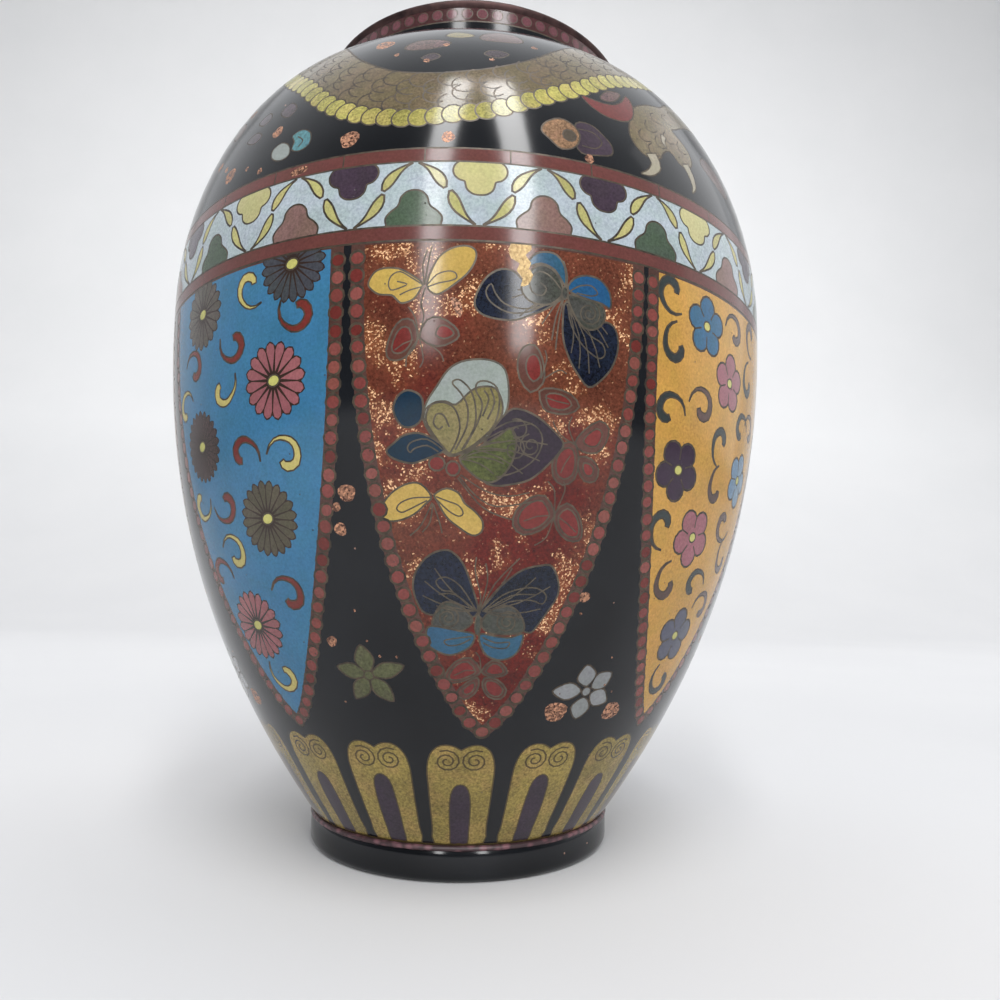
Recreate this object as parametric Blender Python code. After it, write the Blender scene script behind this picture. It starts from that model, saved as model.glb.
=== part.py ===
# Lidded jar of enamelled copper: an egg-shaped body on a low foot, a short upright neck,
# a shallow domed lid that lifts off, and a small cast knob on the lid.
# Lengths are in metres, +Z is up, and the origin is on the axis where the foot stands.

import math

import bpy

# Foot
FOOT_RADIUS = 0.0270          # outside of the ring that the jar stands on
FOOT_HEIGHT = 0.0048          # from the table to the bead above the foot
FOOT_EDGE_ROUND = 0.0014      # round of the ring's lower outer edge
FOOT_RING_WIDTH = 0.0042      # flat that touches the table
FOOT_RECESS_DEPTH = 0.0030    # how far the underside is set up inside the ring
FOOT_RECESS_SLOPE = 0.0010    # how far the ring's inner face leans in
BEAD_HEIGHT = 0.0008          # thin bead between foot and body
BEAD_STANDS_OUT = 0.0003

# Body
BELLY_RADIUS = 0.0551
BELLY_HEIGHT = 0.0940         # level of the widest place
LOWER_FULLNESS = 2.25         # 1 is a straight cone, more is rounder
SHOULDER_HEIGHT = 0.1357      # level where the shoulder runs flat into the neck
SHOULDER_FULLNESS = 1.8       # 2 is an ellipse, less is a lower shoulder
BODY_WALL = 0.0024            # copper with enamel on both sides
FLOOR_THICKNESS = 0.0032

# Neck
NECK_RADIUS = 0.0300          # at its foot, where it leaves the shoulder
NECK_HEIGHT = 0.0096          # from the shoulder to the top of the lip
NECK_WALL = 0.0028
NECK_ROOT_ROUND = 0.0010
LIP_STANDS_OUT = 0.0004       # bare metal lip beyond the neck
LIP_HEIGHT = 0.0009
LIP_ROUND = 0.0003

# Lid
REST_GAP = 0.0003             # between pieces that rest on each other
LID_SET_BACK = 0.0014         # how far the lid's edge stays inside the lip's edge
LID_EDGE = 0.0008             # thickness at the edge
LID_RISE = 0.0090             # height of the dome above its edge
LID_WALL = 0.0018
FLANGE_CLEARANCE = 0.0005     # between the flange and the neck's bore
FLANGE_WALL = 0.0014
FLANGE_DEPTH = 0.0046         # how far the flange reaches into the neck

# Knob
KNOB_SEAT_RADIUS = 0.0056
KNOB_SEAT_HEIGHT = 0.0012
KNOB_STEM_RADIUS = 0.0026
KNOB_STEM_HEIGHT = 0.0022
KNOB_BUD_RADIUS = 0.0060
KNOB_BUD_HEIGHT = 0.0092
KNOB_TIP_RADIUS = 0.0009
KNOB_TIP_HEIGHT = 0.0012

# Facets
BODY_SIDES = 60
LID_SIDES = 48
KNOB_SIDES = 24
LOWER_STEPS = 12
SHOULDER_STEPS = 9
INNER_LOWER_STEPS = 8
INNER_SHOULDER_STEPS = 6
DOME_STEPS = 7
KNOB_STEPS = 7

# Levels and radii that follow from the sizes above
bodyStart = FOOT_HEIGHT + BEAD_HEIGHT
bodyStartRadius = FOOT_RADIUS - BEAD_STANDS_OUT
floorTop = FOOT_RECESS_DEPTH + FLOOR_THICKNESS
lipTop = SHOULDER_HEIGHT + NECK_HEIGHT
lipRadius = NECK_RADIUS + LIP_STANDS_OUT
mouthRadius = NECK_RADIUS - NECK_WALL
lidUnderside = lipTop + REST_GAP
lidRadius = lipRadius - LID_SET_BACK
flangeRadius = mouthRadius - FLANGE_CLEARANCE
flangeInside = flangeRadius - FLANGE_WALL


def clearScene():
    for item in list(bpy.data.objects):
        bpy.data.objects.remove(item, do_unlink=True)


def enamelOrMetal(name, color, roughness, metallic):
    material = bpy.data.materials.new(name)
    material.use_nodes = True
    shader = material.node_tree.nodes["Principled BSDF"]
    shader.inputs["Base Color"].default_value = (*color, 1.0)
    shader.inputs["Roughness"].default_value = roughness
    shader.inputs["Metallic"].default_value = metallic
    return material


def turned(name, outline, sides, material):
    """Turn an outline of (radius, height) points around +Z. It starts and ends on the axis
    and runs down the outer side."""
    mesh = bpy.data.meshes.new(name)
    edges = [(i, i + 1) for i in range(len(outline) - 1)]
    mesh.from_pydata([(radius, 0.0, height) for radius, height in outline], edges, [])
    piece = bpy.data.objects.new(name, mesh)
    bpy.context.collection.objects.link(piece)
    screw = piece.modifiers.new("Turn", "SCREW")
    screw.axis = "Z"
    screw.angle = math.tau
    screw.steps = sides
    screw.render_steps = sides
    screw.use_merge_vertices = True
    screw.merge_threshold = 0.00001
    screw.use_smooth_shade = True
    mesh.materials.append(material)
    return piece


def arc(centre, radius, startDegrees, endDegrees, steps):
    """Points of an arc in the (radius, height) plane, both ends included."""
    points = []
    for i in range(steps + 1):
        angle = math.radians(startDegrees + (endDegrees - startDegrees) * i / steps)
        points.append((centre[0] + radius * math.cos(angle), centre[1] + radius * math.sin(angle)))
    return points


def lowerBody(share):
    """Outer side of the lower body, share 0 at the bead and 1 at the belly."""
    swell = 1.0 - (1.0 - share) ** LOWER_FULLNESS
    return (bodyStartRadius + (BELLY_RADIUS - bodyStartRadius) * swell,
            bodyStart + (BELLY_HEIGHT - bodyStart) * share)


def shoulder(share):
    """Outer side of the upper body, share 0 at the belly and 1 at the neck."""
    angle = math.pi / 2 * share
    rise = math.sin(angle) ** (2.0 / SHOULDER_FULLNESS)
    return (NECK_RADIUS + (BELLY_RADIUS - NECK_RADIUS) * math.cos(angle),
            BELLY_HEIGHT + (SHOULDER_HEIGHT - BELLY_HEIGHT) * rise)


def insideOf(curve, share, thickness):
    """The point at one wall's thickness inside a curve that runs upwards."""
    step = 0.001
    before = curve(max(share - step, 0.0))
    after = curve(min(share + step, 1.0))
    along = (after[0] - before[0], after[1] - before[1])
    length = math.hypot(*along)
    here = curve(share)
    return (here[0] - thickness * along[1] / length, here[1] + thickness * along[0] / length)


def jarInside():
    """Inside of the jar, from the middle of the floor up to the mouth."""
    wall = [insideOf(lowerBody, i / INNER_LOWER_STEPS, BODY_WALL) for i in range(INNER_LOWER_STEPS)]
    wall += [insideOf(shoulder, i / INNER_SHOULDER_STEPS, BODY_WALL)
             for i in range(INNER_SHOULDER_STEPS)]
    wall = [point for point in wall if point[1] > floorTop + BODY_WALL / 4]
    cornerRadius = wall[0][0] - (wall[0][1] - floorTop)
    ceiling = SHOULDER_HEIGHT - BODY_WALL
    points = [(0.0, floorTop), (cornerRadius, floorTop)] + wall
    points += [(mouthRadius + BODY_WALL / 4, ceiling), (mouthRadius, ceiling + BODY_WALL / 4)]
    points += [(mouthRadius, lipTop - LIP_ROUND), (mouthRadius + LIP_ROUND, lipTop)]
    return points


def jarOutside():
    """Outside of the jar, from the lip down to the middle of the underside."""
    lipFoot = lipTop - LIP_HEIGHT
    points = [(lipRadius - LIP_ROUND, lipTop), (lipRadius, lipTop - LIP_ROUND), (lipRadius, lipFoot)]
    points += [(NECK_RADIUS, lipFoot - LIP_STANDS_OUT)]
    root = (NECK_RADIUS + NECK_ROOT_ROUND, SHOULDER_HEIGHT + NECK_ROOT_ROUND)
    points += arc(root, NECK_ROOT_ROUND, 180, 240, 2)
    points += [shoulder(1.0 - i / SHOULDER_STEPS) for i in range(1, SHOULDER_STEPS)]
    points += [lowerBody(1.0 - i / LOWER_STEPS) for i in range(LOWER_STEPS + 1)]
    points += [(FOOT_RADIUS + BEAD_STANDS_OUT / 2, FOOT_HEIGHT + BEAD_HEIGHT / 2)]
    points += [(FOOT_RADIUS - BEAD_STANDS_OUT / 2, FOOT_HEIGHT)]
    edgeCentre = (FOOT_RADIUS - FOOT_EDGE_ROUND, FOOT_EDGE_ROUND)
    points += arc(edgeCentre, FOOT_EDGE_ROUND, 0, -90, 3)
    ringInside = FOOT_RADIUS - FOOT_EDGE_ROUND - FOOT_RING_WIDTH
    points += [(ringInside, 0.0), (ringInside - FOOT_RECESS_SLOPE, FOOT_RECESS_DEPTH)]
    points += [(0.0, FOOT_RECESS_DEPTH)]
    return points


def jarBody(material):
    # The outline goes up the inside, over the lip and down the outside, so that the wall
    # encloses material and the jar stays open at its mouth.
    return turned("jar_body", jarInside() + jarOutside(), BODY_SIDES, material)


def dome(radius):
    """Height of the lid's top at a distance from the axis."""
    return lidUnderside + LID_EDGE + LID_RISE * (1.0 - (radius / lidRadius) ** 2)


def lid(material):
    points = []
    for i in range(DOME_STEPS + 1):
        radius = lidRadius * math.sin(math.pi / 2 * i / DOME_STEPS)
        points.append((radius, dome(radius)))
    points += [(lidRadius, lidUnderside + LID_EDGE / 4), (lidRadius - LID_EDGE / 4, lidUnderside)]
    flangeFoot = lidUnderside - FLANGE_DEPTH
    points += [(flangeRadius, lidUnderside)]
    points += [(flangeRadius, flangeFoot + FLANGE_WALL / 4), (flangeRadius - FLANGE_WALL / 4, flangeFoot)]
    points += [(flangeInside, flangeFoot)]
    for i in range(DOME_STEPS, -1, -1):
        radius = flangeInside * math.sin(math.pi / 2 * i / DOME_STEPS)
        points.append((radius, dome(radius) - LID_WALL))
    return turned("lid", points, LID_SIDES, material)


def lidKnob(material):
    seatTop = dome(0.0) + REST_GAP + KNOB_SEAT_HEIGHT
    stemTop = seatTop + KNOB_STEM_HEIGHT
    budTop = stemTop + KNOB_BUD_HEIGHT
    points = [(0.0, budTop + KNOB_TIP_HEIGHT), (KNOB_TIP_RADIUS, budTop + KNOB_TIP_HEIGHT / 2)]
    for i in range(KNOB_STEPS + 1):
        share = i / KNOB_STEPS
        # A bud: pointed above, fullest a little under its middle, drawn in to the stem.
        swell = math.sin(math.pi * (0.06 + 0.88 * share ** 0.85)) ** 0.8
        radius = KNOB_STEM_RADIUS / 3 + (KNOB_BUD_RADIUS - KNOB_STEM_RADIUS / 3) * swell
        points.append((radius, budTop - KNOB_BUD_HEIGHT * share))
    points += [(KNOB_STEM_RADIUS, seatTop + KNOB_STEM_HEIGHT / 3)]
    points += [(KNOB_SEAT_RADIUS * 0.85, seatTop), (KNOB_SEAT_RADIUS, seatTop - KNOB_SEAT_HEIGHT / 2)]
    # The underside follows the dome that it sits on.
    for i in range(3, -1, -1):
        radius = KNOB_SEAT_RADIUS * i / 3
        points.append((radius, dome(radius) + REST_GAP))
    return turned("lid_knob", points, KNOB_SIDES, material)


clearScene()
blackEnamel = enamelOrMetal("black_enamel", (0.010, 0.012, 0.015), 0.12, 0.0)
lidEnamel = enamelOrMetal("lid_enamel", (0.012, 0.013, 0.017), 0.14, 0.0)
agedBrass = enamelOrMetal("aged_brass", (0.36, 0.24, 0.10), 0.38, 1.0)
jarBody(blackEnamel)
lid(lidEnamel)
lidKnob(agedBrass)
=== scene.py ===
import bpy, math, random
import numpy as np
from bisect import bisect_right
from mathutils import Matrix, Vector
from mathutils.geometry import delaunay_2d_cdt


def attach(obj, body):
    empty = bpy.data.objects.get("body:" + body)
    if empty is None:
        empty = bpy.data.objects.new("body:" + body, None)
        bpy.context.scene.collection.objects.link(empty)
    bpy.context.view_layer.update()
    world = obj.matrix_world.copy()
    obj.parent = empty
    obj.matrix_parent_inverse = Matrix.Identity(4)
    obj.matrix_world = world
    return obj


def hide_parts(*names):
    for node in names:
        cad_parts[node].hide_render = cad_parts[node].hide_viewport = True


# A cloisonne lidded jar: enamel cells between wires, all polished flush on a turned copper body.
# The enamel is drawn in angle round the jar (degrees, 0 at the front) and length up the outline (mm).

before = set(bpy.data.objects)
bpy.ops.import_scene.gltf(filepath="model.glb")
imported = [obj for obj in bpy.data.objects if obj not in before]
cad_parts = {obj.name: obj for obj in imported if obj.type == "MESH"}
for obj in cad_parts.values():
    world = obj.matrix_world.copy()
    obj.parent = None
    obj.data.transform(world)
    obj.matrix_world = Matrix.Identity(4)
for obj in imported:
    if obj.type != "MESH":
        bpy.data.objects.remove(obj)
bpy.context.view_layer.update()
bpy.ops.object.select_all(action="DESELECT")
millimetre = 0.001
degree = math.pi / 180
print("frame loaded")


# Camera: a phone's main lens held low in front of the jar, looking a little up

view = {"place": (0, -0.14696, 0.04318), "turn": -2.5601, "lookUp": 7.4814, "roll": 1.0453, "lens": 26.926}

bpy.ops.object.camera_add(location=view["place"])
camera = bpy.context.object
camera.matrix_world = (Matrix.Translation(view["place"]) @ Matrix.Rotation(view["turn"] * degree, 4, "Z")
                       @ Matrix.Rotation((90 + view["lookUp"]) * degree, 4, "X")
                       @ Matrix.Rotation(view["roll"] * degree, 4, "Z"))
camera.data.lens = view["lens"]
camera.data.sensor_width = 36
camera.data.clip_start = 0.005
bpy.context.scene.camera = camera
bpy.context.scene.view_settings.view_transform = "Standard"


# Shader maths: a value is a socket that ordinary operators work on

class Value:
    def __init__(self, tree, socket):
        self.tree, self.socket = tree, socket

    def math(self, operation, first, second=None):
        node = self.tree.nodes.new("ShaderNodeMath")
        node.operation = operation
        for slot, operand in zip(node.inputs, (first, second)):
            if isinstance(operand, Value):
                self.tree.links.new(operand.socket, slot)
            elif operand is not None:
                slot.default_value = operand
        return Value(self.tree, node.outputs[0])

    def __add__(self, other):
        return self.math("ADD", self, other)

    def __radd__(self, other):
        return self.math("ADD", other, self)

    def __sub__(self, other):
        return self.math("SUBTRACT", self, other)

    def __rsub__(self, other):
        return self.math("SUBTRACT", other, self)

    def __mul__(self, other):
        return self.math("MULTIPLY", self, other)

    def __rmul__(self, other):
        return self.math("MULTIPLY", other, self)

    def __pow__(self, other):
        return self.math("POWER", self, other)

    def __gt__(self, other):
        return self.math("GREATER_THAN", self, other)

    def __lt__(self, other):
        return self.math("LESS_THAN", self, other)

    def clamped(self):
        result = self.math("ADD", self, 0.0)
        result.socket.node.use_clamp = True
        return result

    def rising(self, low, high):  # 0 below low, 1 above high
        return ((self - low) * (1 / (high - low))).clamped()


class Finish:
    def __init__(self, name, **constants):
        self.material = bpy.data.materials.new(name)
        self.material.use_nodes = True
        self.tree = self.material.node_tree
        self.shader = self.tree.nodes["Principled BSDF"]
        for socket, value in constants.items():
            self.shader.inputs[socket.replace("_", " ")].default_value = value
        self.place = self.node("ShaderNodeTexCoord", output="Object")

    def node(self, kind, settings=None, inputs=None, output=0):
        node = self.tree.nodes.new(kind)
        for key, value in (settings or {}).items():
            if key == "stops":
                while len(node.color_ramp.elements) < len(value):
                    node.color_ramp.elements.new(1)
                for element, (position, color) in zip(node.color_ramp.elements, value):
                    element.position = position
                    element.color = color
            else:
                setattr(node, key, value)
        for key, value in (inputs or {}).items():
            if isinstance(value, Value):
                self.tree.links.new(value.socket, node.inputs[key])
            else:
                node.inputs[key].default_value = value
        return Value(self.tree, node.outputs[output])

    def grain(self, scale, detail=2.0, roughness=0.5):
        return self.node("ShaderNodeTexNoise", {}, {"Vector": self.place, "Scale": scale, "Detail": detail,
                                                    "Roughness": roughness})

    def cells(self, scale, output="Distance"):
        return self.node("ShaderNodeTexVoronoi", {}, {"Vector": self.place, "Scale": scale}, output)

    def mix(self, factor, first, second, blend="MIX"):
        return self.node("ShaderNodeMix", {"data_type": "RGBA", "blend_type": blend, "clamp_factor": True},
                         {0: factor, 6: first, 7: second}, 2)

    def part(self, color, channel):
        return self.node("ShaderNodeSeparateColor", {}, {"Color": color}, channel)

    def bump(self, height, distance, strength=1.0):
        return self.node("ShaderNodeBump", {}, {"Height": height, "Distance": distance,
                                                "Strength": strength})

    def use(self, socket, value):
        self.tree.links.new(value.socket, self.shader.inputs[socket])


def paint(red, green, blue):  # a colour as seen, 0 to 255, made linear
    channels = [value / 255 for value in (red, green, blue)]
    return tuple(c / 12.92 if c <= 0.04045 else ((c + 0.055) / 1.055) ** 2.4 for c in channels) + (1.0,)


# Floor and light

floorLook = {"floorTones": ((198, 198, 200), (204, 204, 205)),
             "wallTones": ((226, 227, 228), (232, 232, 233)), "size": 3.0, "wallHeight": 2.1, "bend": 0.8}

bpy.ops.mesh.primitive_plane_add(size=floorLook["size"], location=(0, 0, 0))
floor = bpy.context.object
floor.name = "pale_floor"
bpy.ops.object.mode_set(mode="EDIT")
bpy.ops.mesh.select_all(action="DESELECT")
bpy.ops.mesh.select_mode(type="EDGE")
bpy.ops.object.mode_set(mode="OBJECT")
for edge in floor.data.edges:
    edge.select = all(floor.data.vertices[i].co.y > 0 for i in edge.vertices)
bpy.ops.object.mode_set(mode="EDIT")
bpy.ops.mesh.extrude_region_move(TRANSFORM_OT_translate={"value": (0, 0, floorLook["wallHeight"])})
bpy.ops.mesh.select_all(action="DESELECT")
bpy.ops.object.mode_set(mode="OBJECT")
for edge in floor.data.edges:
    edge.select = all(floor.data.vertices[i].co.y > 0 and floor.data.vertices[i].co.z < 0.01
                      for i in edge.vertices)
bpy.ops.object.mode_set(mode="EDIT")
bpy.ops.mesh.bevel(offset=floorLook["bend"], segments=16, affect="EDGES")
bpy.ops.mesh.select_mode(type="VERT")
bpy.ops.object.mode_set(mode="OBJECT")
bpy.ops.object.shade_smooth()
paper = Finish("pale_paper", Roughness=0.75)
rise = paper.node("ShaderNodeSeparateXYZ", {}, {0: paper.place}, 2).rising(-0.1, floorLook["bend"] * 0.5)
floorTone = paper.mix(paper.grain(8.0, 3.0), *[paint(*tone) for tone in floorLook["floorTones"]])
wallTone = paper.mix(paper.grain(8.0, 3.0), *[paint(*tone) for tone in floorLook["wallTones"]])
paper.use("Base Color", paper.mix(rise, floorTone, wallTone))
floor.data.materials.append(paper.material)

lamps = {
    "left_strip": {"place": (-0.27, -1.08, 1.05), "size": (0.17, 2.0), "power": 14.0, "aim": (0, 0, 0.1)},
    "right_strip": {"place": (0.33, -1.07, 1.05), "size": (0.20, 2.0), "power": 18.0, "aim": (0, 0, 0.1)},
    "right_side": {"place": (1.35, 0.3, 0.8), "size": (1.1, 1.5), "power": 2.5, "aim": (0, 0, 0.08)},
    "wall_wash": {"place": (0, 0.1, 0.9), "size": (3.2, 0.6), "power": 14.5, "aim": (0, 1.5, 0.9)},
}

for name, lamp in lamps.items():
    bpy.ops.object.light_add(type="AREA", location=lamp["place"])
    light = bpy.context.object
    light.name = name
    light.data.shape = "RECTANGLE"
    light.data.size, light.data.size_y = lamp["size"]
    light.data.energy = lamp["power"]
    direction = Vector(lamp["aim"]) - Vector(lamp["place"])
    light.rotation_euler = direction.to_track_quat("-Z", "Y").to_euler()

room = bpy.data.worlds.new("studio")
bpy.context.scene.world = room
room.use_nodes = True
toward = Value(room.node_tree, room.node_tree.nodes.new("ShaderNodeTexCoord").outputs["Generated"])
parts = room.node_tree.nodes.new("ShaderNodeSeparateXYZ")
room.node_tree.links.new(toward.socket, parts.inputs[0])
across, deep, high = [Value(room.node_tree, parts.outputs[axis]) for axis in "XYZ"]
glow = 0.2 + (deep + across * 0.12).rising(-0.55, 0.35) * 0.62  # darker in front of the jar
glow = glow * (0.6 + high.rising(0.0, 0.9) * 0.85)  # and near the floor
room.node_tree.nodes["Background"].inputs["Color"].default_value = (0.95, 0.97, 1.0, 1)
room.node_tree.links.new(glow.socket, room.node_tree.nodes["Background"].inputs["Strength"])
print("camera, floor and lamps done")


# The jar's own sizes, in mm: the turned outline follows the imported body

jar = {"footRadius": 27.0, "footRound": 1.4, "footRing": 4.2, "footRecess": 3.0, "footSlope": 1.0,
       "startRadius": 26.7, "startHeight": 5.6, "bellyRadius": 55.1, "bellyHeight": 94.0,
       "lowerFullness": 2.25, "shoulderHeight": 135.7, "shoulderFullness": 1.8, "neckRadius": 30.0,
       "neckTop": 144.0, "lipRadius": 30.4, "lipTop": 145.3, "mouthRadius": 27.2, "wall": 2.4,
       "floorTop": 6.2, "shoulderEnd": 31.1, "neckCurve": (31.0, 136.7), "neckCurveRadius": 1.0,
       "steps": 260, "around": 144, "row": 3.4}


def lowerBody(share):
    swell = 1 - (1 - share) ** jar["lowerFullness"]
    return (jar["startRadius"] + (jar["bellyRadius"] - jar["startRadius"]) * swell,
            jar["startHeight"] + (jar["bellyHeight"] - jar["startHeight"]) * share)


def shoulder(share):
    angle = math.pi / 2 * share
    rise = math.sin(angle) ** (2 / jar["shoulderFullness"])
    return (jar["neckRadius"] + (jar["bellyRadius"] - jar["neckRadius"]) * math.cos(angle),
            jar["bellyHeight"] + (jar["shoulderHeight"] - jar["bellyHeight"]) * rise)


def arc(centre, radius, first, last, steps):
    angles = [(first + (last - first) * i / steps) * degree for i in range(steps + 1)]
    return [(centre[0] + radius * math.cos(a), centre[1] + radius * math.sin(a)) for a in angles]


class Outline:  # a turned outline from the bottom up, as (radius, height) in mm
    def __init__(self, points):
        self.points = points
        self.lengths = [0.0]
        for before, after in zip(points, points[1:]):
            self.lengths.append(self.lengths[-1] + math.dist(before, after))
        self.heights = [height for radius, height in points]
        self.total = self.lengths[-1]

    def at(self, length):
        i = min(max(bisect_right(self.lengths, length) - 1, 0), len(self.points) - 2)
        share = (length - self.lengths[i]) / (self.lengths[i + 1] - self.lengths[i])
        share = min(max(share, 0.0), 1.0)
        (r0, z0), (r1, z1) = self.points[i], self.points[i + 1]
        return r0 + (r1 - r0) * share, z0 + (z1 - z0) * share

    def lengthAt(self, height):
        i = min(max(bisect_right(self.heights, height) - 1, 0), len(self.points) - 2)
        share = (height - self.heights[i]) / max(self.heights[i + 1] - self.heights[i], 1e-9)
        return self.lengths[i] + min(max(share, 0.0), 1.0) * (self.lengths[i + 1] - self.lengths[i])

    def place(self, angle, length):
        radius, height = self.at(length)
        return (radius * math.sin(angle) * millimetre, -radius * math.cos(angle) * millimetre,
                height * millimetre)

    def facing(self, position):  # the polished surface's own direction, whatever its triangles do
        length = self.lengthAt(position.z / millimetre)
        (r0, z0), (r1, z1) = self.at(max(length - 0.35, 0)), self.at(min(length + 0.35, self.total))
        radius = max(math.hypot(position.x, position.y), 1e-9)
        out = Vector((position.x / radius, position.y / radius, 0))
        return (out * (z1 - z0) + Vector((0, 0, r0 - r1))).normalized()


lower = [lowerBody(i / jar["steps"]) for i in range(jar["steps"])]
upper = [shoulder(i / jar["steps"]) for i in range(jar["steps"] + 1)]
bodyOutline = Outline(lower + [point for point in upper if point[0] > jar["shoulderEnd"]]
                      + arc(jar["neckCurve"], jar["neckCurveRadius"], 262, 180, 8)
                      + [(jar["neckRadius"], jar["neckTop"])])


# Drawing: closed loops painted one over another, each a cell of enamel or a stretch of wire

class Drawing:
    longest = 3.0  # mm between two points of a loop

    def __init__(self, outline, start, reference, around, row):
        self.outline, self.start, self.reference = outline, start, reference
        self.around, self.row = around, row
        self.loops, self.paints = [], []
        self.middle, self.side = 0.0, 1
        self.wire = "wire"

    def move(self, middle=0.0, side=1, wire="wire"):  # where what is drawn next goes, and whether mirrored
        self.middle, self.side, self.wire = middle, side, wire

    def scale(self, length):  # mm in one degree
        return degree * max(self.outline.at(length)[0], 1.0)

    def fill(self, loop, color):
        loop = [(self.middle + self.side * a, b) for a, b in loop]
        area = sum(p[0] * q[1] - q[0] * p[1] for p, q in zip(loop, loop[1:] + loop[:1]))
        if area < 0:
            loop.reverse()
        fine = []
        for p, q in zip(loop, loop[1:] + loop[:1]):
            steps = max(1, math.ceil(math.hypot((q[0] - p[0]) * self.scale(p[1]), q[1] - p[1])
                                     / self.longest))
            fine += [(p[0] + (q[0] - p[0]) * i / steps, p[1] + (q[1] - p[1]) * i / steps)
                     for i in range(steps)]
        spans = [math.dist(p, q) for p, q in zip(fine, fine[1:] + fine[:1])]
        first = spans.index(max(spans))
        fine = fine[first:] + fine[:first]
        low, high = min(p[0] for p in fine), max(p[0] for p in fine)
        shift = -360 * math.floor(((low + high) / 2 - self.start) / 360)
        turns = [shift]
        if low + shift < self.start:
            turns.append(shift + 360)
        if high + shift > self.start + 360:
            turns.append(shift - 360)
        for turn in turns:
            self.loops.append([(a + turn, b) for a, b in fine])
            self.paints.append(color)

    def band(self, low, high, color):
        step = 360 / self.around
        angles = [self.start + step * i for i in range(-2, self.around + 3)]
        self.loops.append([(a, low) for a in angles] + [(a, high) for a in reversed(angles)])
        self.paints.append(color)

    def grown(self, loop, amount):  # the loop moved outwards by a real distance
        area = sum(p[0] * q[1] - q[0] * p[1] for p, q in zip(loop, loop[1:] + loop[:1]))
        amount = amount if area > 0 else -amount
        result = []
        for i, here in enumerate(loop):
            k = self.scale(here[1])
            before, after = loop[i - 1], loop[(i + 1) % len(loop)]
            a = Vector(((here[0] - before[0]) * k, here[1] - before[1])).normalized()
            b = Vector(((after[0] - here[0]) * k, after[1] - here[1])).normalized()
            push = Vector((a.y + b.y, -a.x - b.x)) / max(1 + a.dot(b), 0.45) * amount
            result.append((here[0] + push.x / k, here[1] + push.y))
        return result

    def cell(self, loop, color, width=0.27):
        self.fill(self.grown(loop, width / 2), self.wire)
        self.fill(self.grown(loop, -width / 2), color)

    def line(self, path, width=0.25):  # open wire, in stretches of four steps
        left, right = self.edges(path, [width / 2] * len(path))
        for i in range(0, len(path) - 1, 4):
            j = min(i + 4, len(path) - 1)
            self.fill(left[i:j + 1] + right[i:j + 1][::-1], self.wire)

    def edges(self, path, halves):
        left, right = [], []
        for i, here in enumerate(path):
            k = self.scale(here[1])
            before, after = path[max(i - 1, 0)], path[min(i + 1, len(path) - 1)]
            along = Vector(((after[0] - before[0]) * k, after[1] - before[1])).normalized()
            left.append((here[0] - along.y * halves[i] / k, here[1] + along.x * halves[i]))
            right.append((here[0] + along.y * halves[i] / k, here[1] - along.x * halves[i]))
        return left, right

    def stroke(self, path, widths):  # a closed loop round a path whose width changes along it
        halves = []
        for i in range(len(path)):
            position = i / (len(path) - 1) * (len(widths) - 1)
            j = min(int(position), len(widths) - 2)
            halves.append((widths[j] + (widths[j + 1] - widths[j]) * (position - j)) / 2)
        left, right = self.edges(path, halves)
        return left + right[::-1]

    def about(self, centre, points, turn=0.0):  # points in mm about a centre
        c, s = math.cos(turn * degree), math.sin(turn * degree)
        result = []
        for x, y in points:
            length = centre[1] + s * x + c * y
            result.append((centre[0] + (c * x - s * y) / self.scale(length), length))
        return result

    def oval(self, centre, width, height, turn=0.0, count=12):
        ring = [(width / 2 * math.cos(math.tau * i / count), height / 2 * math.sin(math.tau * i / count))
                for i in range(count)]
        return self.about(centre, ring, turn)

    def spiral(self, centre, first, last, begin, sweep, count, width):
        path = []
        for i in range(count + 1):
            radius = first + (last - first) * i / count
            angle = (begin + sweep * i / count) * degree
            path.append((radius * math.cos(angle), radius * math.sin(angle)))
        self.line(self.about(centre, path), width)


def smooth(points, closed=True, steps=3):  # a curve through listed points
    count = len(points)
    spans = count if closed else count - 1
    result = []
    for i in range(spans):
        if closed:
            p = [points[(i + j) % count] for j in (-1, 0, 1, 2)]
        else:
            p = [points[min(max(i + j, 0), count - 1)] for j in (-1, 0, 1, 2)]
        for step in range(steps):
            t = step / steps
            result.append(tuple(0.5 * (2 * b + (c - a) * t + (2 * a - 5 * b + 4 * c - d) * t * t
                                       + (3 * b - a - 3 * c + d) * t ** 3) for a, b, c, d in zip(*p)))
    return result if closed else result + [points[-1]]


def mirrored(half):  # a closed loop from its right half, listed from one end on the axis to the other
    return half + [(-x, y) for x, y in half[::-1] if abs(x) > 1e-6]


drawing = Drawing(bodyOutline, -198.6, 50.0, jar["around"], jar["row"])


# Bands: two maroon lines, and between them the pale blue field of trefoils and leaves

band = {"lowLine": (89.7, 91.7), "field": (91.7, 100.9), "highLine": (100.9, 103.0), "count": 20,
        "first": 0.8, "edge": 0.13, "leafWidth": 1.45, "jointPitch": 12, "firstJoint": -175,
        "jointWidth": 0.2, "foil": (-26.5, 102), "hanging": ("paleYellow", "plum"),
        "standing": ("greyGreen", "dustyPink")}
hangingTrefoil = mirrored([(0.0, -4.9), (0.95, -4.75), (1.7, -4.15), (1.95, -3.4), (2.1, -2.95),
                           (2.8, -2.7), (3.4, -2.1), (3.6, -1.3), (3.35, -0.5), (2.7, 0.05), (1.8, 0.3),
                           (0.0, 0.4)])
standingTrefoil = mirrored([(0.0, 5.0), (1.0, 4.75), (1.75, 4.0), (1.95, 3.2), (2.3, 2.6), (3.1, 2.0),
                            (3.75, 1.2), (3.7, 0.4), (3.2, -0.3), (0.0, -0.4)])


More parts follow.
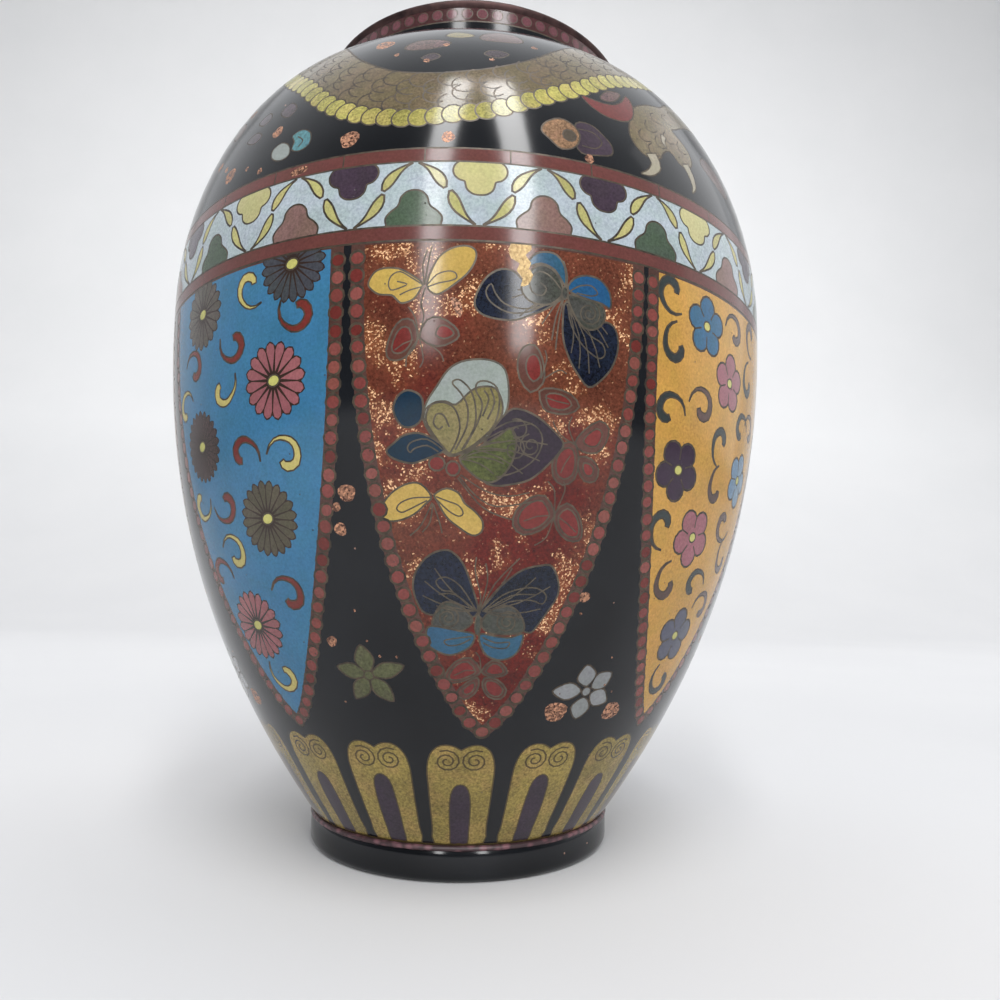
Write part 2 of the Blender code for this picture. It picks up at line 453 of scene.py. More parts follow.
def leaf(tail, head, bend):
    k = drawing.scale((tail[1] + head[1]) / 2)
    dx, dy = (head[0] - tail[0]) * k, head[1] - tail[1]
    path = []
    for i in range(9):
        t = i / 8
        side = bend * 4 * t * (1 - t)
        path.append((tail[0] + (dx * t - dy / math.hypot(dx, dy) * side) / k,
                     tail[1] + dy * t + dx / math.hypot(dx, dy) * side))
    width = band["leafWidth"]
    widths = [0.1, 0.2 * width, 0.48 * width, 0.8 * width, width, 0.95 * width, 0.3 * width]
    drawing.cell(drawing.stroke(path, widths), "leafYellow", 0.3)


def drawBand():
    drawing.move()
    drawing.band(*band["field"], "paleBlue")
    pitch = 360 / band["count"]
    low, high = band["field"]
    for i in range(band["count"]):
        centre = band["first"] + pitch * i
        drawing.move(centre)
        drawing.cell(smooth(drawing.about((0, high), hangingTrefoil)), band["hanging"][i % 2])
        leaf((-0.6, low + 0.2), (-4.0, 96.5), 0.55)
        leaf((0.6, low + 0.2), (4.6, 96.2), -0.55)
        drawing.move(centre + pitch / 2)
        drawing.cell(smooth(drawing.about((0, low), standingTrefoil)), band["standing"][(i + 1) % 2])
        leaf((0.5, high - 0.2), (4.2, 97.0), 0.5)
        leaf((-0.5, high - 0.2), (-4.4, 96.8), -0.5)
    drawing.move()
    for low, high in (band["lowLine"], band["highLine"]):
        drawing.band(low - band["edge"], high + band["edge"], "wire")
        drawing.band(low + band["edge"], high - band["edge"], "maroon")
    low, high = band["highLine"]
    for angle in range(band["firstJoint"], band["firstJoint"] + 360, band["jointPitch"]):
        drawing.line([(angle, low), (angle, high)], band["jointWidth"])
    drawing.fill(smooth(drawing.oval(band["foil"], 3.0, 1.3, 8, 7)), "copperFoil")


# Pointed panels with a border of red beads

panel = {"tip": 22.3, "top": 89.0, "half": 20.3, "pull": 2.5, "swell": 0.72, "strip": 1.7, "bead": 2.36,
         "ring": 2.38, "core": 1.76,
         "fills": ((4.3, "goldstone", 1), (47.5, "ochre", 1), (93.05, "goldstone", -1),
                   (138.6, "azure", -1), (184.15, "goldstone", 1), (229.7, "ochre", -1),
                   (275.25, "goldstone", -1), (-39.2, "azure", 1))}


def panelHalf(length):
    share = min(max((length - panel["tip"]) / (panel["top"] - panel["tip"]), 0), 1)
    return panel["half"] * (1 - (1 - share) ** panel["pull"]) ** panel["swell"]


def panelSide(count=60):
    lengths = [panel["tip"] + (panel["top"] + 1.4 - panel["tip"]) * (i / count) ** 1.6
               for i in range(count + 1)]
    return [(panelHalf(length), length) for length in lengths]


def drawPanelGround(color):
    side = panelSide()
    loop = [(-a, b) for a, b in reversed(side)][:-1] + side
    drawing.fill(drawing.grown(loop, panel["strip"] / 2), "beadGround")
    drawing.fill(drawing.grown(loop, -panel["strip"] / 2 - 0.2), color)


def beadPlaces():
    side = panelSide(400)
    places, walked = [side[0]], 0.0
    for before, after in zip(side, side[1:]):
        step = math.hypot((after[0] - before[0]) * drawing.scale(after[1]), after[1] - before[1])
        walked += step
        if walked >= panel["bead"] and after[1] < panel["top"] + 0.2:
            places.append(after)
            walked -= panel["bead"]
    return places + [(-a, b) for a, b in places[1:]]


def drawBeads(dice):
    for place in beadPlaces():
        turn = dice.uniform(0, 40)
        place = (place[0] + dice.uniform(-0.06, 0.06), place[1] + dice.uniform(-0.06, 0.06))
        size = dice.uniform(0.94, 1.05)
        drawing.fill(drawing.oval(place, panel["ring"] * size, panel["ring"] * size, turn, 10), "beadWire")
        drawing.fill(drawing.oval(place, panel["core"] * size,
                                  panel["core"] * size * dice.uniform(0.85, 1.05), turn, 9),
                     dice.choice(("beadRed", "beadRed", "beadRose", "beadDeep")))


# Flowers and scrolls

def hook(drawing, centre, begin, sweep, color, size=1.0):  # a scroll with a full head and a thin tail
    path = []
    for i in range(14):
        t = i / 13
        radius = size * (1.05 + 1.15 * min(1.0, t / 0.3) ** 0.8 + 1.5 * max(0.0, t - 0.72) / 0.28 * 0.7)
        angle = (begin + sweep * t) * degree
        path.append((radius * math.cos(angle), radius * math.sin(angle)))
    widths = [0.85 * size, 1.35 * size, 1.3 * size, 1.12 * size, 0.92 * size, 0.68 * size, 0.42 * size,
              0.12]
    drawing.cell(drawing.stroke(drawing.about(centre, path), widths), color, 0.24)


def blossom(drawing, centre, color, turn=90):  # five round petals about an oval eye
    reach, petal = 2.7, 1.85
    loop = []
    for i in range(5):
        for step in (-36, -27, -16, -5, 5, 16, 27):
            away = step * degree
            radius = reach * math.cos(away) + math.sqrt(petal ** 2 - (reach * math.sin(away)) ** 2)
            angle = (turn + 72 * i) * degree + away
            loop.append((radius * math.cos(angle), radius * math.sin(angle)))
    drawing.cell(drawing.about(centre, loop), color, 0.34)
    for i in range(5):
        angle = (turn + 36 + 72 * i) * degree
        notch = [(k * math.cos(angle), k * math.sin(angle)) for k in (3.1, 1.5)]
        drawing.line(drawing.about(centre, notch), 0.25)
    drawing.cell(drawing.oval(centre, 1.7, 1.5), "eyeYellow", 0.24)


def daisy(centre, color, petals):  # many narrow petals on a dark ground
    loop = []
    for i in range(petals * 4):
        angle = math.tau * i / (petals * 4)
        radius = 5.1 + (0.15, 0.4, 0.15, -0.35)[i % 4]
        loop.append((radius * math.cos(angle), radius * math.sin(angle)))
    drawing.fill(drawing.about(centre, loop), "petalGap")
    petal = [(1.25, 0), (2.6, 0.36), (4.1, 0.72), (4.9, 0.6), (5.25, 0), (4.9, -0.6), (4.1, -0.72),
             (2.6, -0.36)]
    widen = 16 / petals
    for i in range(petals):
        drawing.fill(drawing.about(centre, [(x, y * widen) for x, y in petal], 360 / petals * (i + 0.25)),
                     color)
    drawing.cell(drawing.oval(centre, 2.1, 1.6, 10), "eyeYellow", 0.24)


ochreFlowers = (((39.4, 84), "flowerBlue", 90), ((47.4, 77.1), "flowerPink", 90),
                ((35.3, 62.2), "flowerPlum", 270), ((42.6, 52.8), "flowerPink", 270),
                ((46.7, 37.2), "flowerGrey", 90), ((56.8, 63.2), "flowerSky", 0))
ochreHooks = ((30.9, 86.8, 20, 290, 0), (32.1, 79.9, -10, -260, 0), (48.3, 85.7, -110, 290, 1),
              (31.9, 70.4, -90, -275, 0), (39.3, 72.3, 220, 320, 1), (46.2, 67.3, 10, 255, 0),
              (47.2, 61.1, -40, -225, 1), (33.8, 53.6, 20, 262, 0), (38.0, 45.8, 0, -270, 1),
              (47.9, 45.6, -110, -245, 0), (53.9, 42.1, -90, 275, 1), (47.3, 29.7, 40, -275, 0),
              (54.8, 71.3, -90, -265, 0), (59.9, 72.1, -90, 265, 1), (53.9, 55.3, 60, 290, 1),
              (57.8, 50.5, 0, -235, 1), (56, 79.5, 0, -270, 0), (56.8, 86.7, 20, 270, 1))
azureFlowers = (((-29.7, 72.5), "petalPink", 16), ((-33.4, 53.7), "petalOlive", 20),
                ((-42.3, 37.9), "petalPink", 18), ((-47, 85), "petalGrey", 18),
                ((-49.1, 65.3), "petalBrown", 22), ((-26.4, 88.2), "petalSlate", 20))
azureHooks = ((-34.4, 86, 40, 275, 0), (-25.6, 81.3, 80, -300, 1), (-40.8, 72.9, 150, 240, 0),
              (-38.4, 78.7, 75, -280, 1), (-28.4, 62.4, 235, 300, 0), (-36.8, 62.9, 230, -250, 1),
              (-52.3, 56.8, 100, 270, 0), (-44.1, 56, 90, -270, 1), (-43.8, 49.2, 225, 300, 0),
              (-31.7, 42.9, 240, 290, 1), (-49.9, 45.8, 240, -250, 1), (-39, 29.9, 70, -290, 0),
              (-54.7, 72.1, 270, -260, 0), (-50.4, 77.6, 250, 280, 1))


def drawOchre():
    for x, y, begin, sweep, tone in ochreHooks:
        hook(drawing, (x, y), begin, sweep, ("hookSlate", "hookBrown")[tone], 0.98)
    for centre, color, turn in ochreFlowers:
        blossom(drawing, centre, color, turn)


def drawAzure():
    for x, y, begin, sweep, tone in azureHooks:
        hook(drawing, (x, y), begin, sweep, ("hookYellow", "hookRed")[tone])
    for centre, color, petals in azureFlowers:
        daisy(centre, color, petals)


# Butterflies on the goldstone panels: wings are cells, with veins and curls of open wire

def curls(paths, width=0.2):
    for path in paths:
        drawing.line(smooth(path, False), width)


def patch(points, color, width):
    drawing.cell(smooth(points), color, width)


def wing(points, color, *veins):
    patch(points, color, 0.26)
    curls(veins)


def fan(root, tips, bend):  # veins that leave the body together and curve apart
    steps = 4
    for tip in tips:
        k = drawing.scale((root[1] + tip[1]) / 2)
        dx, dy = (tip[0] - root[0]) * k, tip[1] - root[1]
        path = []
        for i in range(steps + 1):
            t = i / steps
            side = bend * math.sin(math.pi * t) * math.hypot(dx, dy)
            path.append((root[0] + (dx * t - dy / math.hypot(dx, dy) * side) / k,
                         root[1] + dy * t + dx / math.hypot(dx, dy) * side))
        drawing.line(path, 0.18)


def redWing(points, share=0.7, push=(0, 0)):  # a rose rim round a red cell
    middle = [sum(p[i] for p in points) / len(points) for i in (0, 1)]
    rim = [(middle[0] + (a - middle[0]) * 1.1, middle[1] + (b - middle[1]) * 1.1) for a, b in points]
    drawing.cell(smooth(rim, True, 2), "wingRose", 0.24)
    inner = [(middle[0] + push[0] + (a - middle[0]) * share, middle[1] + push[1] + (b - middle[1]) * share)
             for a, b in points]
    drawing.cell(smooth(inner, True, 2), "wingRed", 0.22)


def redButterflies():
    redWing([(-7.4, 76.8), (-8, 78.7), (-9.4, 78.9), (-10.6, 77.6), (-11.4, 75.3), (-10.9, 74.2),
             (-9.4, 74.2), (-8, 75.3)])
    redWing([(-6.7, 76.8), (-5.8, 78.9), (-4.2, 79.2), (-2.4, 78.2), (-1.8, 77.1), (-2.7, 76.3),
             (-4.5, 75.8)], 0.5, (0.6, 0))
    redWing([(10, 71.6), (8.5, 70.5), (7, 72.1), (6.7, 74.2), (7.4, 75.8), (8.8, 76.1), (9.8, 74.7),
             (10.2, 72.9)], 0.62, (0.3, 0))
    redWing([(10, 70.3), (11.8, 70.8), (14.2, 70.3), (15.5, 68.9), (13.9, 67.9), (11.8, 67.9),
             (10.6, 68.4)])
    redWing([(15.8, 64.2), (17, 65.8), (19.1, 67.1), (20.6, 66.3), (20.3, 64.5), (19.1, 63.2),
             (17, 63.2)], 0.6)
    redWing([(15.5, 63.7), (13.9, 63.7), (12.6, 62.1), (12.7, 59.7), (14.2, 58.7), (15.8, 59.5),
             (16.2, 61.6)], 0.8)
    redWing([(16.6, 62.2), (18.4, 62.0), (19.6, 60.8), (19.2, 59.4), (17.6, 59.3), (16.6, 60.6)], 0.55)
    redWing([(13, 54.7), (11.5, 56.6), (9.4, 56.3), (7.6, 54.7), (7.3, 52.9), (8.8, 51.8), (11.2, 52.4),
             (12.7, 53.7)], 0.82)
    redWing([(13.6, 54.5), (15.2, 55.8), (17, 54.7), (18, 52.6), (17.7, 51.3), (15.8, 51.3),
             (14.1, 52.6)], 0.82)
    redWing([(3, 32.1), (1.2, 33.9), (-1.2, 33.4), (-2.9, 31.6), (-2.7, 30.5), (-0.6, 30.5), (1.8, 31.3)],
            0.8)
    redWing([(3.6, 32.1), (5.2, 33.6), (7, 33.2), (8.0, 31.9), (6.7, 31.4), (5.0, 31.4)], 0.75)
    redWing([(4.2, 30.9), (6.4, 30.7), (8.2, 29.2), (7.3, 27.9), (5.2, 28.2), (4.0, 29.6)], 0.8)
    redWing([(2.6, 31.0), (0.8, 30.2), (-0.8, 28.9), (0.4, 27.8), (2.2, 28.6), (2.9, 29.9)], 0.6)
    curls([[(-7.1, 77.0), (-7.6, 79.4), (-8.6, 80.8)], [(-7.0, 77.0), (-6.4, 79.6), (-6.9, 80.9)],
           [(-7.1, 76.6), (-8.6, 74.6), (-8.8, 73.0)], [(-6.9, 76.5), (-6.4, 74.0), (-6.9, 72.9)],
           [(-6.6, 76.5), (-4.2, 74.9), (-3.6, 73.7)], [(9.9, 72.1), (10.6, 74.6), (10.3, 75.8)],
           [(10.2, 72.0), (12.4, 73.4), (13.6, 73.0)], [(15.6, 63.8), (13.2, 65.0), (12.0, 66.6)],
           [(15.6, 63.8), (14.4, 66.0), (14.8, 67.5)], [(13.3, 54.6), (13.0, 57.6), (11.8, 58.8)],
           [(13.4, 54.6), (14.6, 57.6), (14.3, 58.9)], [(13.3, 54.3), (12.4, 51.4), (10.6, 50.2)],
           [(3.3, 31.9), (3.0, 34.0), (2.2, 35.0)]], 0.18)
    for path in ([(-7.8, 76.5), (-9.2, 76.0), (-10.4, 75.2)], [(12.5, 54.3), (10.6, 54.1), (8.6, 53.4)],
                 [(14.1, 54.1), (15.6, 53.3), (17.2, 52.2)], [(15.0, 62.4), (14.2, 61.2), (13.7, 60.0)],
                 [(10.6, 69.7), (12.4, 69.3), (14.2, 69.1)], [(2.2, 32.2), (0.4, 32.2), (-1.6, 31.4)]):
        drawing.line(path, 0.17)


def yellowButterflies():
    wing([(-6.7, 83.9), (-8.2, 85.0), (-10, 85.9), (-12.1, 86.05), (-13.5, 85.5), (-14.25, 84.2),
          (-13.9, 83.4), (-12.7, 82.6), (-10.9, 82.4), (-10.1, 81.7), (-9.4, 81.3), (-7.9, 81.8),
          (-7.0, 83.0)], "wingYellow", [(-6.7, 83.7), (-8.3, 84.7), (-9.8, 85.5), (-11.0, 85.0),
                                        (-11.4, 83.9), (-11.0, 83.1), (-9.9, 83.3), (-8.8, 83.8),
                                        (-10.2, 84.2)], [(-6.8, 83.4), (-8.4, 83.0), (-9.8, 82.4)])
    wing([(-6.0, 84.2), (-5.4, 85.8), (-4.5, 87.4), (-3.0, 88.5), (-1.2, 88.95), (0.15, 88.6),
          (0.5, 87.6), (0.0, 86.2), (-0.9, 85.0), (-2.1, 84.0), (-3.6, 82.9), (-4.8, 82.4), (-5.9, 83.1)],
         "wingYellow", [(-6.0, 83.7), (-4.8, 85.0), (-3.3, 85.5), (-2.3, 85.3), (-2.1, 84.6),
                        (-3.0, 84.2), (-4.5, 83.9), (-5.9, 83.4)])
    wing([(-5.2, 56.3), (-6.7, 57.9), (-8.5, 58), (-10.6, 57.1), (-12.1, 55.8), (-12.8, 54.5),
          (-12.3, 53.2), (-10.3, 53.1), (-7.9, 53.9), (-6.1, 55.3)], "wingYellow",
         [(-5.3, 56.2), (-7.9, 56.1), (-9.7, 55.5), (-10.4, 54.7), (-9.7, 54.2), (-8.5, 54.6),
          (-5.8, 55.8)])
    wing([(-4.7, 56.6), (-3, 57.4), (-1.2, 56.8), (-0.3, 55.5), (1.2, 54.5), (2.4, 53.2), (2.3, 51.8),
          (0.9, 51.3), (-1.2, 52.4), (-3, 53.7), (-4.4, 55.8)], "wingYellow",
         [(-4.5, 56.3), (-3.0, 55.8), (-1.2, 55.2), (-0.5, 54.2), (-1.2, 53.8), (-2.7, 54.5),
          (-4.4, 55.9)])
    curls([[(-6.4, 83.6), (-6.7, 86.3), (-6.1, 88.4)], [(-6.4, 83.6), (-5.9, 87.0), (-5.5, 88.8)],
           [(-6.3, 83.3), (-6.8, 81.4), (-6.6, 80.4)], [(-5.1, 55.5), (-6.7, 52.6), (-8.5, 51.1)],
           [(-5.0, 55.4), (-5.4, 53.0), (-6.6, 51.6)], [(-4.9, 55.3), (-4.0, 53.0), (-3.6, 51.5)]])


def upperBlueButterfly():
    wing([(12.6, 83.2), (10.3, 81.3), (8.2, 80.3), (5.8, 79.4), (3, 79.5), (1.2, 80.1), (0.4, 81.3),
          (0.9, 83.2), (2.1, 85), (3.9, 86.05), (5.8, 85.8), (7.4, 84.4), (10.0, 84.2)], "wingNavy",
         [(12.5, 83.3), (9.6, 81.6), (7.0, 81.0), (4.5, 81.5), (3.2, 82.8), (2.6, 84.0), (1.9, 83.0),
          (2.6, 81.6), (4.9, 80.4), (7.6, 80.6), (10.4, 81.9)])
    fan((12.6, 83.4), ((6.2, 83.4), (5.4, 82.3), (6.6, 80.0), (8.4, 81.2), (7.6, 84.0)), -0.08)
    wing([(12.6, 84.2), (11.5, 86.3), (9.4, 87.1), (7.6, 85.8), (6.7, 83.7), (7.9, 82.1), (10.3, 81.8),
          (12.0, 82.8)], "wingGrey", [(12.4, 84.0), (10.9, 85.6), (9.2, 86.2), (7.9, 85.0), (8.2, 83.4),
                                      (9.6, 83.0), (10.2, 84.0), (9.3, 84.7)])
    wing([(12.9, 84.7), (12.8, 87.1), (11.6, 88.7), (9.7, 88.9), (8.2, 88.2), (7.5, 86.7), (9.4, 87.3),
          (11.4, 86.6)], "wingSky")
    wing([(13.2, 82.6), (12.7, 80), (12.9, 77.4), (13.9, 75), (15.2, 73.2), (17, 71.6), (18.8, 72.6),
          (20.6, 74.7), (21.4, 77.4), (20.9, 79.7), (19.4, 80.6), (16.4, 80.2)], "wingNavy",
         [(13.3, 82.2), (14.0, 79.4), (15.8, 77.0), (18.2, 75.6), (19.3, 76.2), (18.8, 77.6),
          (16.6, 78.6), (14.6, 80.4)])
    fan((13.2, 82.2), ((15.4, 73.9), (17.0, 73.4), (18.6, 74.4), (14.1, 75.8), (19.8, 77.2),
                       (19.6, 79.0)), 0.1)
    wing([(13.3, 83.4), (15.8, 83.3), (18.2, 83), (19.1, 81.6), (18.5, 80), (16.7, 79.2), (14.8, 80.3)],
         "wingGrey")
    drawing.spiral((16.6, 81.4), 0.3, 1.75, 30, 760, 22, 0.2)
    wing([(13.3, 84.2), (14.2, 85.8), (16.1, 86.5), (18.2, 86.2), (19.7, 84.7), (19.9, 82.6), (18.5, 83.0),
          (15.8, 83.4)], "wingBlue",
         [(13.6, 84.0), (15.0, 84.9), (16.8, 85.2), (17.8, 84.3), (16.8, 83.8), (14.6, 83.9)])
    curls([[(12.9, 83.6), (11.7, 80.4), (11.2, 77.2)], [(12.8, 83.4), (12.1, 79.6), (11.8, 76.0)],
           [(12.7, 83.6), (10.9, 81.0), (9.7, 79.2)], [(13.0, 84.0), (13.2, 86.0), (12.6, 88.0)]])
    drawing.cell(drawing.oval((12.9, 83.7), 0.9, 1.8, 0, 9), "wingGrey", 0.2)


def largeButterfly():
    wing([(-2.7, 61.6), (-4.8, 63.7), (-6.4, 66.3), (-5.9, 68.4), (-4.5, 70.5), (-3, 72.6), (-1.2, 73.7),
          (1.2, 74.1), (3.3, 73.9), (4.8, 72.9), (5.4, 70.5), (5.3, 67.9), (4.2, 65.8), (2.7, 64.2),
          (0, 62.4)], "wingWhite")
    wing([(-2.6, 61.8), (-4.6, 64.0), (-6.0, 66.2), (-5.2, 68.2), (-3.3, 68.6), (-1.8, 68.2), (0.2, 70.0),
          (1.8, 70.6), (3.6, 70.4), (4.6, 68.6), (4.4, 66.6), (2.4, 64.4), (0, 62.6)], "wingOchre")
    curls([[(-2.7, 61.9), (-4.9, 64.2), (-6.2, 65.9), (-6.0, 67.6), (-4.5, 68.4), (-3.0, 68.3),
            (-1.8, 67.4), (-1.2, 65.3), (-1.8, 63.2), (-2.6, 61.9)],
           [(-2.7, 65.3), (-3.5, 66.8), (-4.5, 66.9), (-4.9, 65.8), (-4.2, 65.0), (-3.6, 65.4)],
           [(-1.8, 62.4), (-0.3, 65.3), (-0.2, 67.9), (-1.2, 69.7), (-2.3, 70.8), (-2.1, 71.3),
            (-1.2, 71.3), (0.2, 70.0), (0.9, 67.9), (0.8, 65.3), (-0.9, 62.4)],
           [(-0.6, 62.6), (1.2, 65.8), (1.8, 68.4), (0.9, 70.0), (1.1, 71.1), (2.4, 71.3), (3.8, 70.5),
            (4.2, 68.4), (3.6, 65.8), (1.8, 63.7)], [(1.9, 66.8), (2.7, 69.0), (2.0, 70.1)],
           [(2.6, 66.4), (3.5, 68.6), (2.9, 70.4)]], 0.24)
    wing([(-6.4, 68.4), (-7, 69.5), (-8.6, 70), (-10, 69.2), (-10.6, 67.4), (-9.5, 65.5), (-7.9, 65.3),
          (-6.6, 66.3)], "wingTeal")
    wing([(-3.3, 62.4), (-4.8, 63.7), (-7, 64.5), (-9.1, 64.2), (-10.6, 63.2), (-11.7, 62.2),
          (-10.6, 61.2), (-8.2, 60.6), (-6.4, 61), (-4.8, 61.6)], "wingTeal",
         [(-3.6, 62.4), (-5.8, 63.7), (-7.9, 63.4), (-8.6, 62.6), (-8.2, 62.0), (-7.6, 62.5),
          (-5.8, 62.9), (-4.2, 62.1)])
    wing([(3.0, 64.6), (5.5, 67.6), (7.3, 67.9), (9.7, 67.1), (12.1, 65.5), (13.8, 63.9), (13, 62.4),
          (11.2, 60.5), (9.1, 58.9), (6.7, 58.2), (4.2, 57.9), (2.4, 58.4), (1.0, 60.4)], "wingPurple")
    wing([(-1.2, 61.4), (1.6, 62.9), (4.3, 64.4), (5.8, 65.4), (6.8, 64.0), (6.4, 61.2), (4.8, 59.0),
          (2.9, 58.3), (0.6, 59.4)], "wingGreen")
    fan((-1.0, 61.2), ((4.4, 63.6), (5.4, 62.4), (5.2, 60.8), (3.8, 59.4)), 0.1)
    fan((0.6, 62.6), ((9.0, 66.2), (11.4, 63.6), (10.4, 61.4), (8.0, 59.6)), 0.07)
    for centre, begin, sweep in (((6.6, 62.7), 200, 620), ((8.9, 63.3), -20, -600), ((6.9, 65.2), 60, 420)):
        drawing.spiral(centre, 0.25, 1.55, begin, sweep, 20, 0.2)
    curls([[(-0.6, 62.0), (3.2, 64.9), (6.4, 66.4), (9.4, 65.9), (10.6, 64.2), (9.8, 61.8), (7.2, 59.9),
            (4.2, 59.0)]])
    for eye, width in (((-4.4, 60.6), 2.1), ((-2.1, 60.0), 1.8)):
        drawing.cell(drawing.oval(eye, width, 1.9, 0, 10), "wingRed", 0.24)
    curls([[(-1.2, 59.0), (1.2, 56.6), (4.4, 55.2), (9.7, 56.0)]])
    curls([[(-1.4, 58.8), (1.6, 55.6), (4.2, 54.2), (7.0, 53.5)]])
    curls([[(-1.0, 59.2), (2.6, 57.2), (6.0, 56.6), (9.2, 57.2)]], 0.18)


def lowerBlueButterfly():
    wing([(2.3, 40.8), (1.2, 44.2), (-0.3, 47.4), (-2.1, 49.05), (-3.9, 49.2), (-6.1, 48.2), (-7.9, 46.05),
          (-8.3, 43.9), (-7.6, 41.8), (-6.4, 40.5), (-4.0, 40.2), (0.0, 39.8)], "wingNavy",
         [(2.0, 41.0), (-0.6, 44.3), (-3.0, 45.6), (-4.6, 45.0), (-3.6, 43.8), (-1.8, 43.5), (0.8, 41.6)],
         [(2.0, 40.9), (-1.5, 43.2), (-4.2, 43.2)])
    wing([(2.4, 40.3), (4.2, 42.9), (6.4, 45), (9.1, 46.8), (12.1, 47.5), (13.9, 47.4), (15.3, 45.3),
          (15.5, 43.4), (14.5, 41.6), (13, 39.5), (11.5, 37.9), (9.0, 38.6), (5.0, 39.6)], "wingNavy",
         [(3.0, 40.9), (6.1, 43.2), (9.1, 44.2), (11.8, 44.3), (13.5, 43.3), (13.0, 42.1), (10.9, 42.6),
          (7.3, 42.3), (4.0, 40.8)], [(3.2, 40.9), (7.6, 43.2), (11.6, 43.4)])
    wing([(1.5, 39.5), (0, 41.3), (-1.8, 42.1), (-3.5, 42), (-4.8, 40.5), (-5.3, 38.6), (-3, 38.0),
          (-0.6, 38.0)], "wingGrey")
    wing([(2.9, 39.2), (4.2, 40.9), (6.4, 41.8), (8.5, 41.3), (10, 39.7), (10.2, 38.1), (7.3, 37.6),
          (4.2, 37.9)], "wingGrey")
    drawing.spiral((-2.7, 39.9), 0.3, 1.75, 100, 780, 22, 0.2)
    drawing.spiral((7.3, 39.4), 0.3, 1.7, 80, -780, 22, 0.2)
    wing([(1.8, 37.6), (-1.0, 38.1), (-5.5, 38.7), (-6.4, 37.6), (-6.1, 36), (-4.5, 35), (-2.4, 34.5),
          (-0.3, 35), (1.4, 36)], "wingSky", [(1.4, 37.3), (-1.2, 37.0), (-3.3, 36.6), (-2.6, 35.9),
                                              (-0.6, 36.1), (1.2, 36.9)])
    wing([(2.7, 37.6), (5.8, 37.3), (8.2, 37.2), (10.3, 37.7), (9.8, 35.3), (8.2, 34.1), (5.8, 33.9),
          (3.6, 35)], "wingSky", [(3.2, 37.2), (5.6, 36.4), (8.0, 36.5), (7.4, 35.6), (5.2, 35.7),
                                  (3.4, 36.4)])
    curls([[(2.3, 40.8), (2.6, 43.0), (1.6, 46.4), (1.7, 48.4)], [(2.7, 41.0), (4.8, 44.8), (8.5, 48.4)],
           [(2.5, 41.0), (3.6, 45.0), (3.2, 47.6)], [(2.6, 41.0), (5.4, 44.0), (7.4, 47.0)]])
    fan((2.2, 41.0), ((-4.8, 46.8), (-6.4, 45.0), (-6.8, 43.0), (-4.6, 41.6)), 0.07)
    fan((3.0, 41.0), ((11.4, 45.8), (14.0, 44.6), (12.8, 41.4), (9.6, 40.2)), -0.07)
    drawing.cell(drawing.oval((2.35, 39.0), 0.8, 3.0, 0, 9), "wingGrey", 0.2)


def drawGoldstone():
    drawing.wire = "paleWire"
    redButterflies()
    upperBlueButterfly()
    lowerBlueButterfly()
    largeButterfly()
    yellowButterflies()
    leafEdge = [(4.9, 88.9), (5.5, 90.0), (6.4, 89.6), (7.7, 90.1), (8.0, 89.0), (7.2, 88.2), (8.0, 87.2),
                (7.7, 86.4), (8.3, 85.6), (7.6, 84.2), (6.6, 84.0), (6.9, 85.0), (6.0, 86.0), (6.4, 87.0),
                (5.2, 87.6)]
    drawing.fill(smooth(leafEdge, True, 2), "goldLeaf")
    drawing.fill(smooth([(-2.9, 82.0), (-1.9, 81.8), (-1.2, 80.6), (-1.5, 79.4), (-2.3, 80.4)], True, 2),
                 "copperFoil")


# Between the panels: a star flower in each gap, a few drops of copper, and the lappets above the foot

starPetals = {
    "petalMoss": ((98, 0.4, 4.7, 2.9), (166, 0.4, 4.9, 2.4), (18, 0.4, 5.6, 2.4), (236, 0.4, 4.6, 2.6),
                  (308, 0.4, 5.0, 2.6)),
    "petalWhite": ((104, 0.9, 4.5, 3.1), (38, 0.9, 4.8, 2.9), (-24, 0.9, 4.7, 3.0), (-96, 0.9, 4.6, 3.2),
                   (177, 0.9, 5.6, 2.8))}


def star(centre, color):
    petal = [(0.0, 0.0), (0.22, 0.36), (0.5, 0.5), (0.8, 0.3), (1.0, 0.0), (0.8, -0.3), (0.5, -0.5),
             (0.22, -0.36)]
    for turn, inner, outer, width in starPetals[color]:
        loop = [(inner + (outer - inner) * x, width * y) for x, y in petal]
        drawing.cell(smooth(drawing.about(centre, loop, turn), True, 2), color, 0.24)
    drawing.cell(drawing.oval(centre, 1.5, 1.5, 0, 10), color, 0.2)


def drop(drawing, centre, radius):
    ring = [(radius * (1 + 0.12 * math.sin(3 * a + centre[0])) * math.cos(a),
             radius * (1 + 0.1 * math.cos(2 * a + centre[1])) * math.sin(a))
            for a in [math.tau * i / 14 for i in range(14)]]
    drawing.fill(drawing.about(centre, ring), "copperDrop")


gaps = {"first": -17.8, "pitch": 90.0, "second": 43.3, "count": 8, "specks": 5,
        "stars": (((0, 31.0), "petalMoss"), ((0, 28.6), "petalWhite")),
        "drops": ((((-0.3, 56.8), 1.25), ((-2.2, 55.0), 0.65), ((-1.8, 52.0), 0.9), ((-6.4, 36.0), 0.8)),
                  (((-6.0, 25.4), 1.75), ((8.4, 25.0), 1.65), ((-5.0, 43.2), 0.8)))}


def drawGaps(dice):  # two kinds of gap, by turns
    for i in range(gaps["count"]):
        kind = i % 2
        drawing.move(gaps["first"] + gaps["pitch"] * (i // 2) + kind * gaps["second"])
        star(*gaps["stars"][kind])
        for place, radius in gaps["drops"][kind]:
            drop(drawing, place, radius)
        for _ in range(gaps["specks"]):
            place = (dice.uniform(-7, 7), dice.uniform(24, 42))
            drop(drawing, place, dice.uniform(0.1, 0.2))


lappet = {"count": 18, "low": 0.5, "archTop": (12.8, 14.2), "spiralAt": (3.25, 17.1)}


